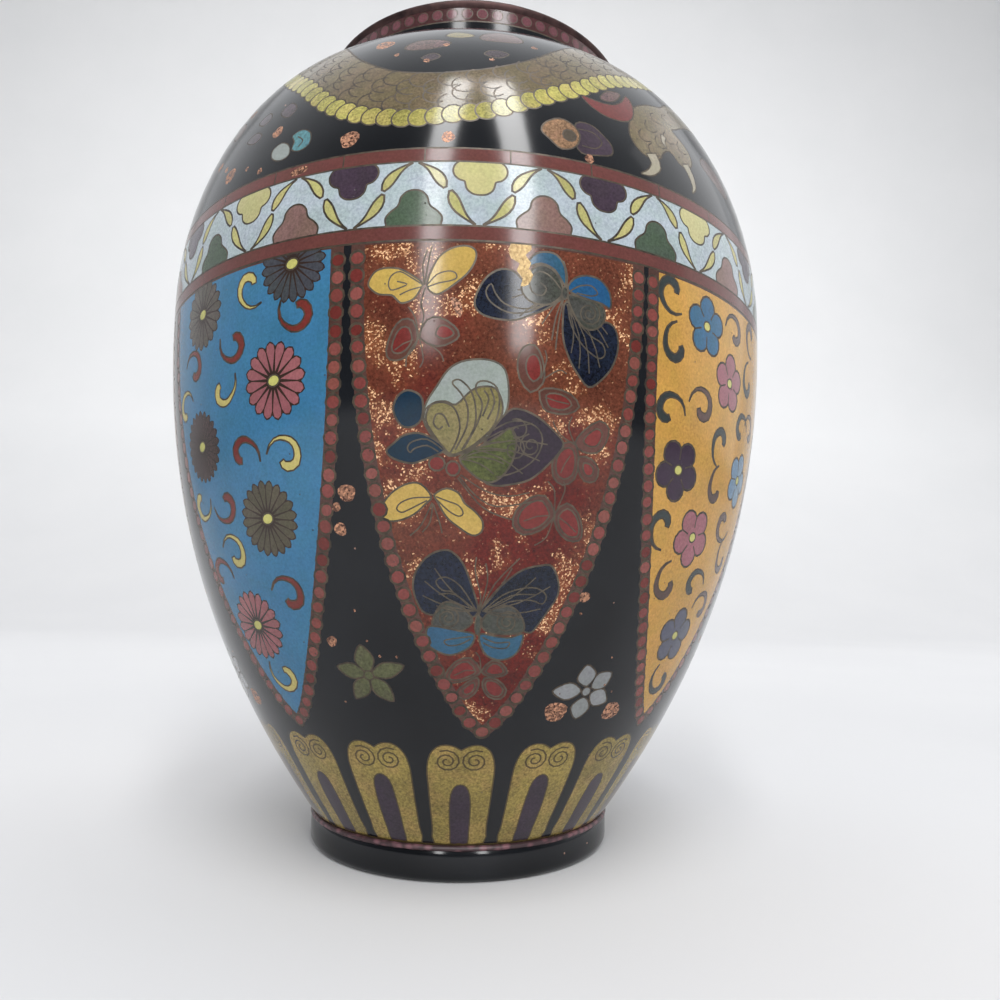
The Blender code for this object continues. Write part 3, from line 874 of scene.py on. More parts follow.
def drawLappets(dice):
    body = mirrored([(0.0, 19.1), (0.8, 19.45), (2.0, 19.85), (3.6, 20.0), (5.4, 19.6), (7.0, 18.3),
                     (7.9, 16.0), (8.0, 13.4), (8.0, 9.0), (8.0, 4.0), (7.9, lappet["low"]),
                     (0.0, lappet["low"])])
    for i in range(lappet["count"]):
        drawing.move(0.2 + 360 / lappet["count"] * i + dice.uniform(-0.5, 0.5), 1, "lappetWire")
        drawing.cell(smooth(body, True, 2), "lappetOchre", 0.22)
        top = lappet["archTop"][i % 2]
        arch = mirrored([(0.0, top), (1.5, top - 0.5), (2.5, top - 2.2), (2.9, 7.0), (2.8, 3.0),
                         (2.7, lappet["low"]), (0.0, lappet["low"])])
        drawing.cell(smooth(arch, True, 2), "lappetPlum", 0.2)
        for side in (-1, 1):
            centre = (side * lappet["spiralAt"][0], lappet["spiralAt"][1])
            drawing.spiral(centre, 0.3, 2.05, 90 + side * 10, side * -760, 24, 0.28)
    drawing.move()
    drawing.band(-1, 0.4, "lappetWire")


# The dragon: a long scaled body with a scalloped yellow belly, swinging down from the neck

dragon = {"belly": ((-56, 149), (-53.5, 144), (-51, 139), (-46, 134), (-42, 129), (-35.8, 123.5),
                    (-31.2, 120), (-27.4, 116.4), (-23.5, 113.0), (-18.2, 110.0), (-12.8, 108.6),
                    (-8.2, 108.2), (-0.5, 109.2), (3.4, 110.2), (8, 112.3), (14.9, 116.0), (19.5, 118.9),
                    (23.4, 121.6), (30.3, 125.2), (37.2, 129), (43, 133), (47, 138), (49.5, 144),
                    (51, 149)), "back": ((-40, 150), (-38.5, 145), (-36, 140.5), (-31, 135),
                                         (-25.8, 128.8), (-21.2, 123.5), (-16.6, 120), (-12.8, 118.1),
                                         (-6.6, 117.2), (-0.5, 117.9), (4.2, 119.4), (9.5, 122.4),
                                         (14.9, 127.2), (19, 131), (25.5, 135.5), (30.5, 140.5),
                                         (33, 145), (34.5, 150)), "scale": 3.9,
          "rows": (0.28, 0.47, 0.66, 0.84), "scute": 2.3, "middles": (0.0, 120.0, 240.0)}


class Strip:  # the ground between two curves, found by share along and share across
    def __init__(self, low, high):
        self.curves = [smooth(low, False, 6), smooth(high, False, 6)]
        self.walks = [self.walk(curve) for curve in self.curves]

    def walk(self, curve):
        lengths = [0.0]
        for before, after in zip(curve, curve[1:]):
            k = drawing.scale((before[1] + after[1]) / 2)
            lengths.append(lengths[-1] + math.hypot((after[0] - before[0]) * k, after[1] - before[1]))
        return lengths

    def on(self, which, share):
        curve, lengths = self.curves[which], self.walks[which]
        target = share * lengths[-1]
        i = min(max(bisect_right(lengths, target) - 1, 0), len(curve) - 2)
        part = (target - lengths[i]) / (lengths[i + 1] - lengths[i])
        return tuple(a + (b - a) * part for a, b in zip(curve[i], curve[i + 1]))

    def at(self, along, across):
        low, high = self.on(0, along), self.on(1, along)
        return tuple(a + (b - a) * across for a, b in zip(low, high))


def drawDragon(middle):
    drawing.move(middle)
    strip = Strip(dragon["belly"], dragon["back"])
    low = [strip.at(i / 70, 0) for i in range(71)]
    high = [strip.at(i / 70, 1) for i in range(71)]
    drawing.cell(low + high[::-1], "scaleOlive", 0.3)
    length = strip.walks[0][-1]
    for row, across in enumerate(dragon["rows"]):
        reach = length * (1 - across) + strip.walks[1][-1] * across
        count = int(reach / dragon["scale"])
        for i in range(1, count - 1):
            share = (i + 0.5 * (row % 2)) / count
            centre, ahead = strip.at(share, across), strip.at(share + 0.002, across)
            k = drawing.scale(centre[1])
            turn = math.atan2(ahead[1] - centre[1], (ahead[0] - centre[0]) * k) / degree
            curve = [(1.95 * math.cos(a * degree), 1.62 * math.sin(a * degree)) for a in range(98, 291, 24)]
            drawing.line(drawing.about(centre, curve, turn + 6), 0.24)
    count = int(length / dragon["scute"])
    scute = [(1.5, 0.75), (0.6, 1.45), (-0.4, 1.35), (-1.15, 0.6), (-1.35, -0.4), (-0.95, -1.35),
             (-0.2, -1.75), (0.7, -1.7), (1.5, -1.1)]
    for i in range(1, count):  # each scute overlaps the one before it
        centre, ahead = strip.at(i / count, 0.03), strip.at(i / count + 0.002, 0.03)
        k = drawing.scale(centre[1])
        turn = math.atan2(ahead[1] - centre[1], (ahead[0] - centre[0]) * k) / degree
        drawing.cell(smooth(drawing.about(centre, scute, turn - 10), True, 2), "bellyYellow", 0.24)


def drawLeg(middle):
    drawing.move(middle)
    patch([(58.5, 149.0), (58.0, 143.0), (56.0, 136.5), (53.0, 131.5), (49.0, 128.4), (44.0, 126.4),
           (39.6, 124.4), (36.0, 121.6), (33.0, 120.4), (29.4, 118.6), (27.0, 116.6), (25.6, 113.6),
           (24.8, 110.8), (25.6, 108.6), (27.6, 107.4), (30.2, 107.8), (31.6, 109.6), (33.4, 110.6),
           (35.2, 109.2), (37.0, 108.8), (39.2, 110.6), (39.4, 113.2), (37.6, 115.2), (36.4, 116.4),
           (38.4, 117.6), (41.4, 119.6), (45.4, 121.6), (51.0, 124.0), (56.0, 127.5), (59.6, 133.0),
           (62.0, 139.0), (63.0, 144.0), (63.0, 149.0)], "scaleOlive", 0.26)
    for centre, turn in (((57.4, 139.0), 250), ((60.4, 141.6), 250), ((56.4, 133.4), 240),
                         ((59.4, 136.0), 245), ((52.4, 128.6), 220), ((55.6, 130.4), 230),
                         ((48.4, 126.0), 210), ((45.6, 124.2), 200), ((42.4, 123.6), 200),
                         ((38.8, 121.4), 205), ((35.4, 118.6), 220), ((31.8, 116.8), 235),
                         ((29.6, 113.6), 260), ((27.4, 111.0), 250), ((33.6, 113.2), 250),
                         ((36.8, 112.6), 250), ((28.8, 109.0), 240), ((31.0, 111.0), 260)):
        drawing.line(drawing.about(centre, [(1.3, 1.2), (0.1, 0.9), (-0.5, 0.0), (0.1, -0.9), (1.3, -1.2)],
                                     turn - 210), 0.2)
    for claw, widths in (([(28.6, 108.4), (29.2, 106.4), (27.6, 104.6), (25.8, 103.9)],
                          [2.2, 1.9, 1.1, 0.15]), ([(37.0, 109.8), (37.9, 107.8), (38.0, 105.9),
                                                    (37.2, 104.6)], [1.9, 1.5, 0.9, 0.15]),
                         ([(33.0, 113.6), (32.4, 112.2), (32.8, 111.0)], [1.1, 0.8, 0.15])):
        drawing.cell(drawing.stroke(smooth(claw, False), widths), "clawWhite", 0.22)
    patch([(17.0, 115.8), (18.4, 113.8), (21.0, 112.6), (24.2, 112.8), (26.4, 114.4), (27.4, 117.6),
           (26.6, 119.4), (25.0, 117.4), (22.8, 115.8), (20.0, 115.4)], "crescentRed", 0.24)
    patch([(20.6, 116.2), (22.8, 116.4), (24.6, 118.0), (25.2, 119.4), (23.4, 119.2), (21.4, 117.8)],
          "shadowPink", 0.2)


def drawClouds(middle):
    drawing.move(middle)
    patch([(15.2, 109.6), (17.6, 110.0), (19.6, 108.6), (20.9, 107.0), (20.6, 105.4), (18.2, 104.7),
           (15.6, 104.5), (14.6, 106.6)], "plum", 0.24)
    patch([(12.6, 109.9), (14.6, 109.2), (15.6, 107.6), (14.8, 105.4), (12.6, 104.5), (10.8, 105.8),
           (9.6, 107.2), (10.4, 108.8)], "cloudPeach", 0.24)
    drawing.cell(drawing.oval((13.9, 107.1), 2.0, 2.0, 0, 10), "cloudShade", 0.22)
    drawing.line(smooth([(15.4, 108.6), (17.8, 108.6), (19.2, 107.2), (18.0, 105.8), (15.8, 105.8)],
                        False), 0.2)
    patch([(-33.0, 107.4), (-31.4, 108.2), (-29.6, 107.2), (-29.2, 105.4), (-31.0, 104.9),
           (-32.8, 105.9)], "wingWhite", 0.2)
    patch([(-29.4, 108.9), (-27.6, 109.5), (-25.8, 108.4), (-25.6, 106.4), (-27.2, 105.6), (-28.8, 106.2),
           (-28.7, 107.6)], "cloudTeal", 0.2)
    curls([[(-28.2, 108.4), (-27.0, 107.4), (-27.6, 106.4)]])
    for loop, color in (([(-13.0, 124.4), (-9.6, 123.6), (-6.0, 124.4), (-4.8, 125.8), (-7.4, 127.0),
                          (-11.4, 126.8)], "shadowPink"), ([(-6.0, 128.4), (-3.0, 127.6), (-0.6, 128.6),
                                                            (-2.2, 130.0), (-5.0, 130.2)], "wingOchre"),
                        ([(0.6, 127.2), (4.6, 126.8), (8.4, 127.6), (7.6, 130.4), (4.0, 131.2),
                          (1.0, 129.6)], "shadowPink"), ([(1.2, 122.2), (3.6, 121.4), (5.4, 122.8),
                                                          (3.8, 123.6), (2.0, 123.4)], "shadowPlum"),
                        ([(-9.4, 121.2), (-7.6, 120.4), (-6.2, 121.4), (-7.6, 122.4)], "shadowPlum"),
                        ([(43.0, 112.6), (46.6, 110.6), (50.6, 109.6), (53.0, 111.4), (49.6, 114.2),
                          (45.4, 115.0)], "shadowPink"), ([(-40.2, 115.6), (-38.2, 114.2), (-36.6, 115.2),
                                                           (-38.0, 116.8)], "shadowPlum"),
                        ([(-34.4, 115.2), (-32.0, 113.4), (-30.6, 114.8), (-32.6, 116.8)], "shadowPlum"),
                        ([(-41.6, 112.2), (-39.0, 110.8), (-37.4, 111.8), (-39.4, 113.2)], "shadowPlum"),
                        ([(-50.6, 118.0), (-48.0, 115.6), (-46.0, 117.4), (-48.2, 119.6)], "shadowPink")):
        patch(loop, color, 0.22)
    for place, radius in (((-18.6, 105.6), 1.4), ((-3.9, 104.8), 0.9), ((-33.2, 110.9), 1.0),
                          ((-43.6, 106.6), 1.4), ((16.8, 103.8), 0.7), ((-50.0, 111.0), 0.8),
                          ((-35.0, 104.4), 0.5), ((-46.5, 121.0), 0.9), ((-17.5, 127.2), 1.5),
                          ((-8.4, 120.4), 0.5), ((2.4, 120.9), 0.4), ((-5.6, 124.9), 0.5),
                          ((10.4, 126.4), 0.5), ((-14.0, 122.8), 0.4), ((-46.0, 108.8), 0.5),
                          ((-38.6, 106.0), 0.4)):
        drop(drawing, place, radius)


neck = {"dots": 72, "firstDot": 1.3, "dotHeight": 142.9, "ring": 2.05, "dot": 1.75, "maroonFrom": 141.5,
        "wire": (141.35, 141.6)}


def drawNeck():
    drawing.move()
    drawing.band(bodyOutline.lengthAt(neck["maroonFrom"]), bodyOutline.total + 1, "neckMaroon")
    for i in range(neck["dots"]):
        centre = (360 / neck["dots"] * i + neck["firstDot"], bodyOutline.lengthAt(neck["dotHeight"]))
        drawing.fill(drawing.oval(centre, neck["ring"], neck["ring"], 0, 11), "beadWire")
        drawing.fill(drawing.oval(centre, neck["dot"], neck["dot"], 0, 10), "neckDot")
    drawing.band(*[bodyOutline.lengthAt(height) for height in neck["wire"]], "wire")


dice = random.Random(14)
fillings = {"goldstone": (drawGoldstone, 4.3), "ochre": (drawOchre, 47.5), "azure": (drawAzure, -39.2)}
for middle, color, side in panel["fills"]:
    drawing.move(middle)
    drawPanelGround(color)
    draw, drawnAt = fillings[color]  # the figures are set out about this angle
    drawing.move(middle - side * drawnAt, side)
    draw()
    drawing.move(middle)
    drawBeads(dice)
drawGaps(dice)
drawLappets(dice)
drawBand()
for middle in dragon["middles"]:
    drawDragon(middle)
    drawLeg(middle)
    drawClouds(middle)
drawNeck()
print("enamel drawn:", len(drawing.loops), "loops")


# Enamels: each cell's colour as seen and how mottled it is, and what isn't a plain enamel

enamels = {
    "maroon": ((118, 68, 64), 0.25), "paleBlue": ((200, 212, 222), 0.3),
    "paleYellow": ((214, 206, 148), 0.22), "plum": ((78, 62, 78), 0.45), "greyGreen": ((86, 102, 86), 0.45),
    "dustyPink": ((152, 118, 112), 0.35), "leafYellow": ((206, 197, 132), 0.3),
    "beadGround": ((96, 66, 60), 0.3), "beadRose": ((152, 86, 80), 0.3), "beadDeep": ((122, 52, 48), 0.3),
    "beadRed": ((144, 74, 70), 0.3), "ochre": ((222, 168, 84), 0.3), "azure": ((70, 134, 178), 0.22),
    "flowerBlue": ((62, 118, 160), 0.3), "flowerPink": ((178, 112, 124), 0.25),
    "flowerPlum": ((66, 48, 68), 0.3), "flowerGrey": ((96, 98, 120), 0.3),
    "flowerSky": ((128, 160, 190), 0.25), "eyeYellow": ((226, 220, 130), 0.2),
    "hookSlate": ((64, 70, 72), 0.3), "hookBrown": ((104, 80, 76), 0.3),
    "hookYellow": ((218, 202, 124), 0.2), "hookRed": ((132, 56, 50), 0.25), "petalGap": ((64, 48, 42), 0.2),
    "petalPink": ((172, 106, 112), 0.25), "petalOlive": ((98, 90, 74), 0.4),
    "petalGrey": ((100, 92, 86), 0.4), "petalBrown": ((84, 66, 66), 0.4), "petalSlate": ((78, 80, 88), 0.4),
    "petalMoss": ((106, 105, 76), 0.6), "petalWhite": ((158, 160, 163), 0.2),
    "wingRed": ((136, 54, 52), 0.35), "wingRose": ((108, 68, 60), 0.3),
    "wingYellow": ((218, 182, 98), 0.25), "wingNavy": ((32, 38, 58), 1.0), "wingGrey": ((84, 84, 80), 0.6),
    "wingSky": ((60, 104, 136), 0.3), "wingBlue": ((44, 96, 144), 0.3), "wingWhite": ((170, 178, 174), 0.2),
    "wingOchre": ((150, 136, 92), 0.4), "wingTeal": ((8, 46, 70), 0.3), "wingPurple": ((54, 40, 56), 0.55),
    "wingGreen": ((90, 94, 50), 0.9), "lappetOchre": ((170, 144, 82), 0.7),
    "lappetPlum": ((68, 54, 70), 0.4), "scaleOlive": ((128, 110, 84), 0.6),
    "bellyYellow": ((192, 178, 102), 0.7), "clawWhite": ((176, 166, 146), 0.2),
    "crescentRed": ((130, 62, 60), 0.3), "cloudPeach": ((164, 124, 100), 0.9),
    "cloudShade": ((96, 84, 74), 0.3), "cloudTeal": ((98, 148, 162), 0.5),
    "neckMaroon": ((86, 52, 54), 0.35), "neckDot": ((128, 80, 88), 0.3), "lappetWire": ((92, 76, 50), 0.3),
    "shadowPink": ((112, 84, 84), 1.0), "shadowPlum": ((82, 68, 78), 0.9),
}
otherFinishes = {"black": "black", "wire": "wire", "paleWire": "paleWire", "beadWire": "wire",
                 "goldstone": "goldstone", "copperDrop": "copper", "copperFoil": "copper",
                 "goldLeaf": "gold"}
enamelShade = 0.6  # the fired enamels take less light than the pale room


# Finishes

pit = {"scale": 620.0, "share": 0.2, "depth": 1.2}


def speckled(finish, color, strength):  # darker and lighter grains, as ground enamel shows
    fine = finish.grain(2600.0, 3.0, 0.65)
    broad = finish.grain(170.0, 3.0)
    change = 1.0 + ((fine - 0.5) * 3.4 + (broad - 0.5) * 1.4) * strength
    tone = finish.node("ShaderNodeCombineColor", {}, {"Red": change, "Green": change, "Blue": change},
                       "Color")
    return finish.mix(1.0, color, tone, "MULTIPLY")


def pitted(finish, color):  # tiny open bubbles, dark inside
    pick = finish.part(finish.cells(pit["scale"], "Color"), "Red")
    pits = (1.0 - finish.cells(pit["scale"]).rising(0.05, 0.1)) * (pick < pit["share"])
    return finish.mix(pits * 0.8, color, paint(38, 30, 26)), pits


def glossy(finish, pits=None):  # the slight waves that polishing leaves
    ripple = finish.grain(95.0, 2.0)
    height = ripple if pits is None else ripple - pits * pit["depth"]
    finish.use("Normal", finish.bump(height, 0.00006, 0.55))


gloss = {"IOR": 1.5, "Specular_IOR_Level": 0.36}

cellFinish = Finish("fired_enamel", **gloss)
cellColor = cellFinish.node("ShaderNodeAttribute", {"attribute_name": "enamel"}, {}, "Color")
cellMottle = cellFinish.node("ShaderNodeAttribute", {"attribute_name": "enamel"}, {}, "Alpha")
cellTint = cellFinish.mix(1.0, cellColor, (0.9, 0.97, 0.86, 1), "MULTIPLY")
cellVaried = cellFinish.mix(cellFinish.grain(300.0, 3.0).rising(0.4, 0.62) * cellMottle * 2.4,
                            cellColor, cellTint)
cellTone, cellPits = pitted(cellFinish, speckled(cellFinish, cellVaried, cellMottle))
cellFinish.use("Base Color", cellTone)
cellFinish.use("Roughness", 0.09 + cellFinish.grain(60.0, 3.0) * 0.1 + cellPits * 0.4)
glossy(cellFinish, cellPits)

blackFinish = Finish("black_enamel", **gloss)
flecks = blackFinish.cells(430.0)
fleckPick = blackFinish.part(blackFinish.cells(430.0, "Color"), "Green")
fleckMask = (1.0 - flecks.rising(0.05, 0.09)) * (fleckPick > 0.93)
blackTone = blackFinish.mix(blackFinish.grain(70.0, 3.0).rising(0.35, 0.7), paint(10, 12, 16),
                            paint(22, 24, 28))
blackFinish.use("Base Color", blackFinish.mix(fleckMask, blackTone, paint(150, 118, 104)))
blackFinish.use("Roughness", 0.07 + blackFinish.grain(50.0, 3.0) * 0.1)
glossy(blackFinish)

goldstoneFinish = Finish("goldstone_enamel", **gloss)
heightUp = goldstoneFinish.node("ShaderNodeSeparateXYZ", {}, {0: goldstoneFinish.place}, 2)
redZone = (goldstoneFinish.grain(60.0, 3.0) + (0.062 - heightUp) * 6.0).rising(0.4, 0.62)
sparkZone = goldstoneFinish.grain(165.0, 3.0, 0.6).rising(0.5, 0.64)
sparkPick = goldstoneFinish.part(goldstoneFinish.cells(5000.0, "Color"), "Red")
sparkGlow = goldstoneFinish.part(goldstoneFinish.cells(5000.0, "Color"), "Blue")
spark = (sparkPick + sparkZone * 0.36).rising(0.97, 1.06)
deep = goldstoneFinish.mix(redZone, paint(92, 50, 36), paint(84, 22, 15))
warm = goldstoneFinish.mix(sparkZone * 0.55, deep, paint(122, 72, 44))
warm = speckled(goldstoneFinish, warm, 0.7)
flake = goldstoneFinish.mix(sparkGlow, paint(136, 84, 54), paint(240, 196, 150))
goldstoneFinish.use("Base Color", goldstoneFinish.mix(spark, warm, flake))
goldstoneFinish.use("Roughness", 0.09 + goldstoneFinish.grain(60.0, 3.0) * 0.1)
glossy(goldstoneFinish)


def wireFinish(name, dark, light, metallic):
    finish = Finish(name, Roughness=0.38, Metallic=metallic)
    finish.use("Base Color", finish.mix(finish.grain(900.0, 3.0).rising(0.3, 0.7), dark, light))
    return finish


wires = wireFinish("cell_wire", paint(44, 38, 32), paint(82, 70, 56), 0.35)
paleWires = wireFinish("goldstone_wire", paint(58, 52, 44), paint(90, 81, 67), 0.3)

copperFinish = Finish("copper_drop", Metallic=0.25, IOR=1.5)
copperPick = copperFinish.part(copperFinish.cells(3600.0, "Color"), "Red")
copperTone = copperFinish.mix(copperPick ** 1.8, paint(74, 45, 35), paint(198, 144, 112))
copperFinish.use("Base Color", copperTone)
copperFinish.use("Roughness", 0.2 + copperPick * 0.3)

goldFinish = Finish("gold_leaf", Metallic=0.55, Roughness=0.35)
goldGrain = goldFinish.grain(1500.0, 4.0, 0.7)
goldFinish.use("Base Color", goldFinish.mix(goldGrain.rising(0.3, 0.7), paint(126, 100, 64),
                                            paint(212, 184, 134)))
goldFinish.use("Normal", goldFinish.bump(goldGrain, 0.0002))

lipFinish = Finish("worn_lip_metal", Metallic=0.8)
lipGrain = lipFinish.grain(420.0, 4.0, 0.6)
lipFinish.use("Base Color", lipFinish.mix(lipGrain.rising(0.3, 0.7), paint(46, 33, 34), paint(84, 62, 60)))
lipFinish.use("Roughness", 0.35 + lipGrain * 0.3)

beadFinish = Finish("pink_bead_line", IOR=1.5)
beadTone = beadFinish.mix(beadFinish.cells(700.0).rising(0.25, 0.6), paint(116, 80, 86), paint(58, 40, 44))
beadFinish.use("Base Color", beadTone)
beadFinish.use("Roughness", 0.3 + beadFinish.grain(300.0) * 0.2)

brassFinish = Finish("aged_brass", Metallic=1.0)
brassGrain = brassFinish.grain(700.0, 4.0, 0.6)
brassWear = brassFinish.node("ShaderNodeNewGeometry", {}, {}, "Pointiness").rising(0.46, 0.54)
brassTone = brassFinish.mix(brassWear, paint(74, 56, 34), paint(190, 150, 84))
brassFinish.use("Base Color", brassFinish.mix(brassGrain.rising(0.35, 0.75) * 0.5, brassTone,
                                              paint(96, 78, 48)))
brassFinish.use("Roughness", 0.28 + brassGrain * 0.25)
brassFinish.use("Normal", brassFinish.bump(brassGrain, 0.00006))

counterFinish = Finish("counter_enamel", IOR=1.5)
counterTone = speckled(counterFinish, counterFinish.mix(counterFinish.grain(40.0, 3.0), paint(30, 64, 70),
                                                        paint(44, 84, 88)), 0.5)
counterFinish.use("Base Color", counterTone)
counterFinish.use("Roughness", 0.28 + counterFinish.grain(80.0) * 0.2)
glossy(counterFinish)

finishes = {"cells": cellFinish, "black": blackFinish, "goldstone": goldstoneFinish, "wire": wires,
            "paleWire": paleWires, "copper": copperFinish, "gold": goldFinish, "lip": lipFinish,
            "bead": beadFinish, "counter": counterFinish, "brass": brassFinish}
print("finishes made")


# Meshes: the drawing is cut into triangles and laid on the turned surface

def paintedBy(drawing, middles, width):  # the last loop that winds round each triangle's middle
    order = np.argsort(middles[:, 1])
    x, y = middles[order, 0], middles[order, 1]
    tops = np.zeros(len(x), int)
    for number, loop in enumerate(drawing.loops, 1):
        corners = np.array(loop) * (width, 1.0)
        low, high = np.searchsorted(y, (corners[:, 1].min(), corners[:, 1].max()))
        near = low + np.flatnonzero((x[low:high] > corners[:, 0].min()) & (x[low:high] < corners[:,
                                                                                                 0].max()))
        (x0, y0), (x1, y1) = corners.T[:, :, None], np.roll(corners, -1, axis=0).T[:, :, None]
        side = (x1 - x0) * (y[near] - y0) - (x[near] - x0) * (y1 - y0)
        up = (y0 <= y[near]) & (y1 > y[near]) & (side > 0)
        down = (y0 > y[near]) & (y1 <= y[near]) & (side < 0)
        tops[near[up.sum(axis=0) > down.sum(axis=0)]] = number
    result = np.zeros(len(x), int)
    result[order] = tops
    return result.tolist()


def layOn(drawing, name):
    width = drawing.reference * degree
    step = 360 / drawing.around
    total = drawing.outline.total
    rows = round(total / drawing.row)
    angles = [drawing.start + step * i for i in range(drawing.around + 1)]
    lengths = [total * i / rows for i in range(rows + 1)]
    edge = ([(a, 0.0) for a in angles[:-1]] + [(angles[-1], b) for b in lengths[:-1]]
            + [(a, total) for a in reversed(angles[1:])] + [(angles[0], b) for b in reversed(lengths[1:])])
    points, edges = [], []
    for loop in [edge] + drawing.loops:
        count = len(points)
        edges += [(count + i, count + (i + 1) % len(loop)) for i in range(len(loop))]
        points += [Vector((a * width, b)) for a, b in loop]
    points += [Vector((a * width, b)) for a in angles[1:-1] for b in lengths[1:-1]]
    spots, _, triangles, _, _, _ = delaunay_2d_cdt(points, edges, [], 0, 1e-4, False)
    flat = np.array([(p.x, p.y) for p in spots])
    middles = flat[np.array(triangles)].mean(axis=1)
    within = ((middles[:, 0] > angles[0] * width) & (middles[:, 0] < angles[-1] * width)
              & (middles[:, 1] > 0) & (middles[:, 1] < total))
    middles = middles[within]
    triangles = [triangle for triangle, keep in zip(triangles, within) if keep]
    tops = paintedBy(drawing, middles, width)
    kept = list(zip(triangles, tops))
    colors = ["black"] + drawing.paints
    tones = random.Random(5)
    tone = [tones.uniform(0.92, 1.08) for _ in colors]
    mesh = bpy.data.meshes.new(name)
    mesh.from_pydata([drawing.outline.place(p.x / width * degree, p.y) for p in spots], [],
                     [triangle for triangle, _ in kept])
    slots = list(finishes)
    for key in slots:
        mesh.materials.append(finishes[key].material)
    mesh.polygons.foreach_set("material_index",
                              [slots.index(otherFinishes.get(colors[top], "cells")) for _, top in kept])
    values = []
    for _, top in kept:
        color, mottle = enamels.get(colors[top], ((0, 0, 0), 0.0))
        red, green, blue, _ = paint(*color)
        shade = tone[top] * enamelShade
        values += [red * shade, green * shade, blue * shade, mottle] * 3
    layer = mesh.color_attributes.new("enamel", "FLOAT_COLOR", "CORNER")
    layer.data.foreach_set("color", values)
    piece = bpy.data.objects.new(name, mesh)
    bpy.context.collection.objects.link(piece)
    print(name, "laid on:", len(points), "points,", len(kept), "triangles")
    return piece


# spin an outline of (radius, height) in mm round the axis
def turn(name, outline, sides, slotOf, start=0.0):
    out = Vector((math.sin(start * degree), -math.cos(start * degree), 0)) * millimetre
    up = Vector((0, 0, millimetre))
    bpy.ops.object.select_all(action="DESELECT")
    bpy.ops.mesh.primitive_plane_add(size=0.01)
    piece = bpy.context.object
    piece.name = name
    bpy.ops.object.mode_set(mode="EDIT")
    bpy.ops.mesh.select_mode(type="VERT")
    bpy.ops.mesh.select_all(action="SELECT")
    bpy.ops.mesh.merge(type="CENTER")
    bpy.ops.transform.translate(value=out * outline[0][0] + up * outline[0][1])
    for before, after in zip(outline, outline[1:]):
        move = out * (after[0] - before[0]) + up * (after[1] - before[1])
        bpy.ops.mesh.extrude_region_move(TRANSFORM_OT_translate={"value": move})
    bpy.ops.mesh.select_all(action="SELECT")
    bpy.ops.mesh.spin(steps=sides, angle=math.tau, center=(0, 0, 0), axis=(0, 0, 1))
    bpy.ops.mesh.select_all(action="SELECT")
    bpy.ops.mesh.remove_doubles(threshold=0.000002)
    bpy.ops.mesh.normals_make_consistent(inside=False)
    bpy.ops.object.mode_set(mode="OBJECT")
    slots = list(finishes)
    for key in slots:
        piece.data.materials.append(finishes[key].material)
    for face in piece.data.polygons:
        centre = face.center / millimetre
        face.material_index = slots.index(slotOf(math.hypot(centre.x, centre.y), centre.z))
    return piece


def joined(skin, cores, drawing):
    mesh = skin.data
    laid = len(mesh.polygons)
    bpy.ops.object.select_all(action="DESELECT")
    for core in cores:
        core.select_set(True)
    skin.select_set(True)
    bpy.context.view_layer.objects.active = skin
    bpy.ops.object.join()
    mark = mesh.attributes.new("laid", "BOOLEAN", "FACE")
    mark.data.foreach_set("value", [i < laid for i in range(len(mesh.polygons))])
    bpy.ops.object.mode_set(mode="EDIT")
    bpy.ops.mesh.select_all(action="SELECT")
    bpy.ops.mesh.remove_doubles(threshold=0.000004)
    bpy.ops.mesh.delete_loose()
    bpy.ops.mesh.select_all(action="DESELECT")
    bpy.ops.object.mode_set(mode="OBJECT")
    bpy.ops.object.shade_smooth_by_angle(angle=35 * degree)
    normals = [corner.vector.copy() for corner in mesh.corner_normals]
    for face, flag in zip(mesh.polygons, mesh.attributes["laid"].data):
        if flag.value:
            for corner in face.loop_indices:
                normals[corner] = drawing.outline.facing(mesh.vertices[mesh.loops[corner].vertex_index].co)
    mesh.attributes.remove(mesh.attributes["laid"])
    mesh.normals_split_custom_set(normals)
    used = {}
    for face in mesh.polygons:
        for key in face.edge_keys:
            used[key] = used.get(key, 0) + 1
    print(skin.name, "triangles:", sum(len(face.vertices) - 2 for face in mesh.polygons),
          "open edges:", sum(1 for count in used.values() if count != 2))
    return skin


def wallInside(curve, share, thickness):
    before, after = curve(max(share - 0.001, 0)), curve(min(share + 0.001, 1))
    along = (after[0] - before[0], after[1] - before[1])
    length = math.hypot(*along)
    here = curve(share)
    return (here[0] - thickness * along[1] / length, here[1] + thickness * along[0] / length)


core = {"lowerSteps": 12, "upperSteps": 10, "above": 0.6, "beyond": 0.7, "lowerTo": 60,
        "bead": (26.75, 5.2), "beadRadius": 0.42, "footTop": [(26.8, 4.75), (27.0, 4.2)],
        "ceilingRound": 0.6, "mouthRound": 0.4, "lipRound": 0.35,
        "lipStep": [(30.4, 144.55), (30.1, 144.1)]}


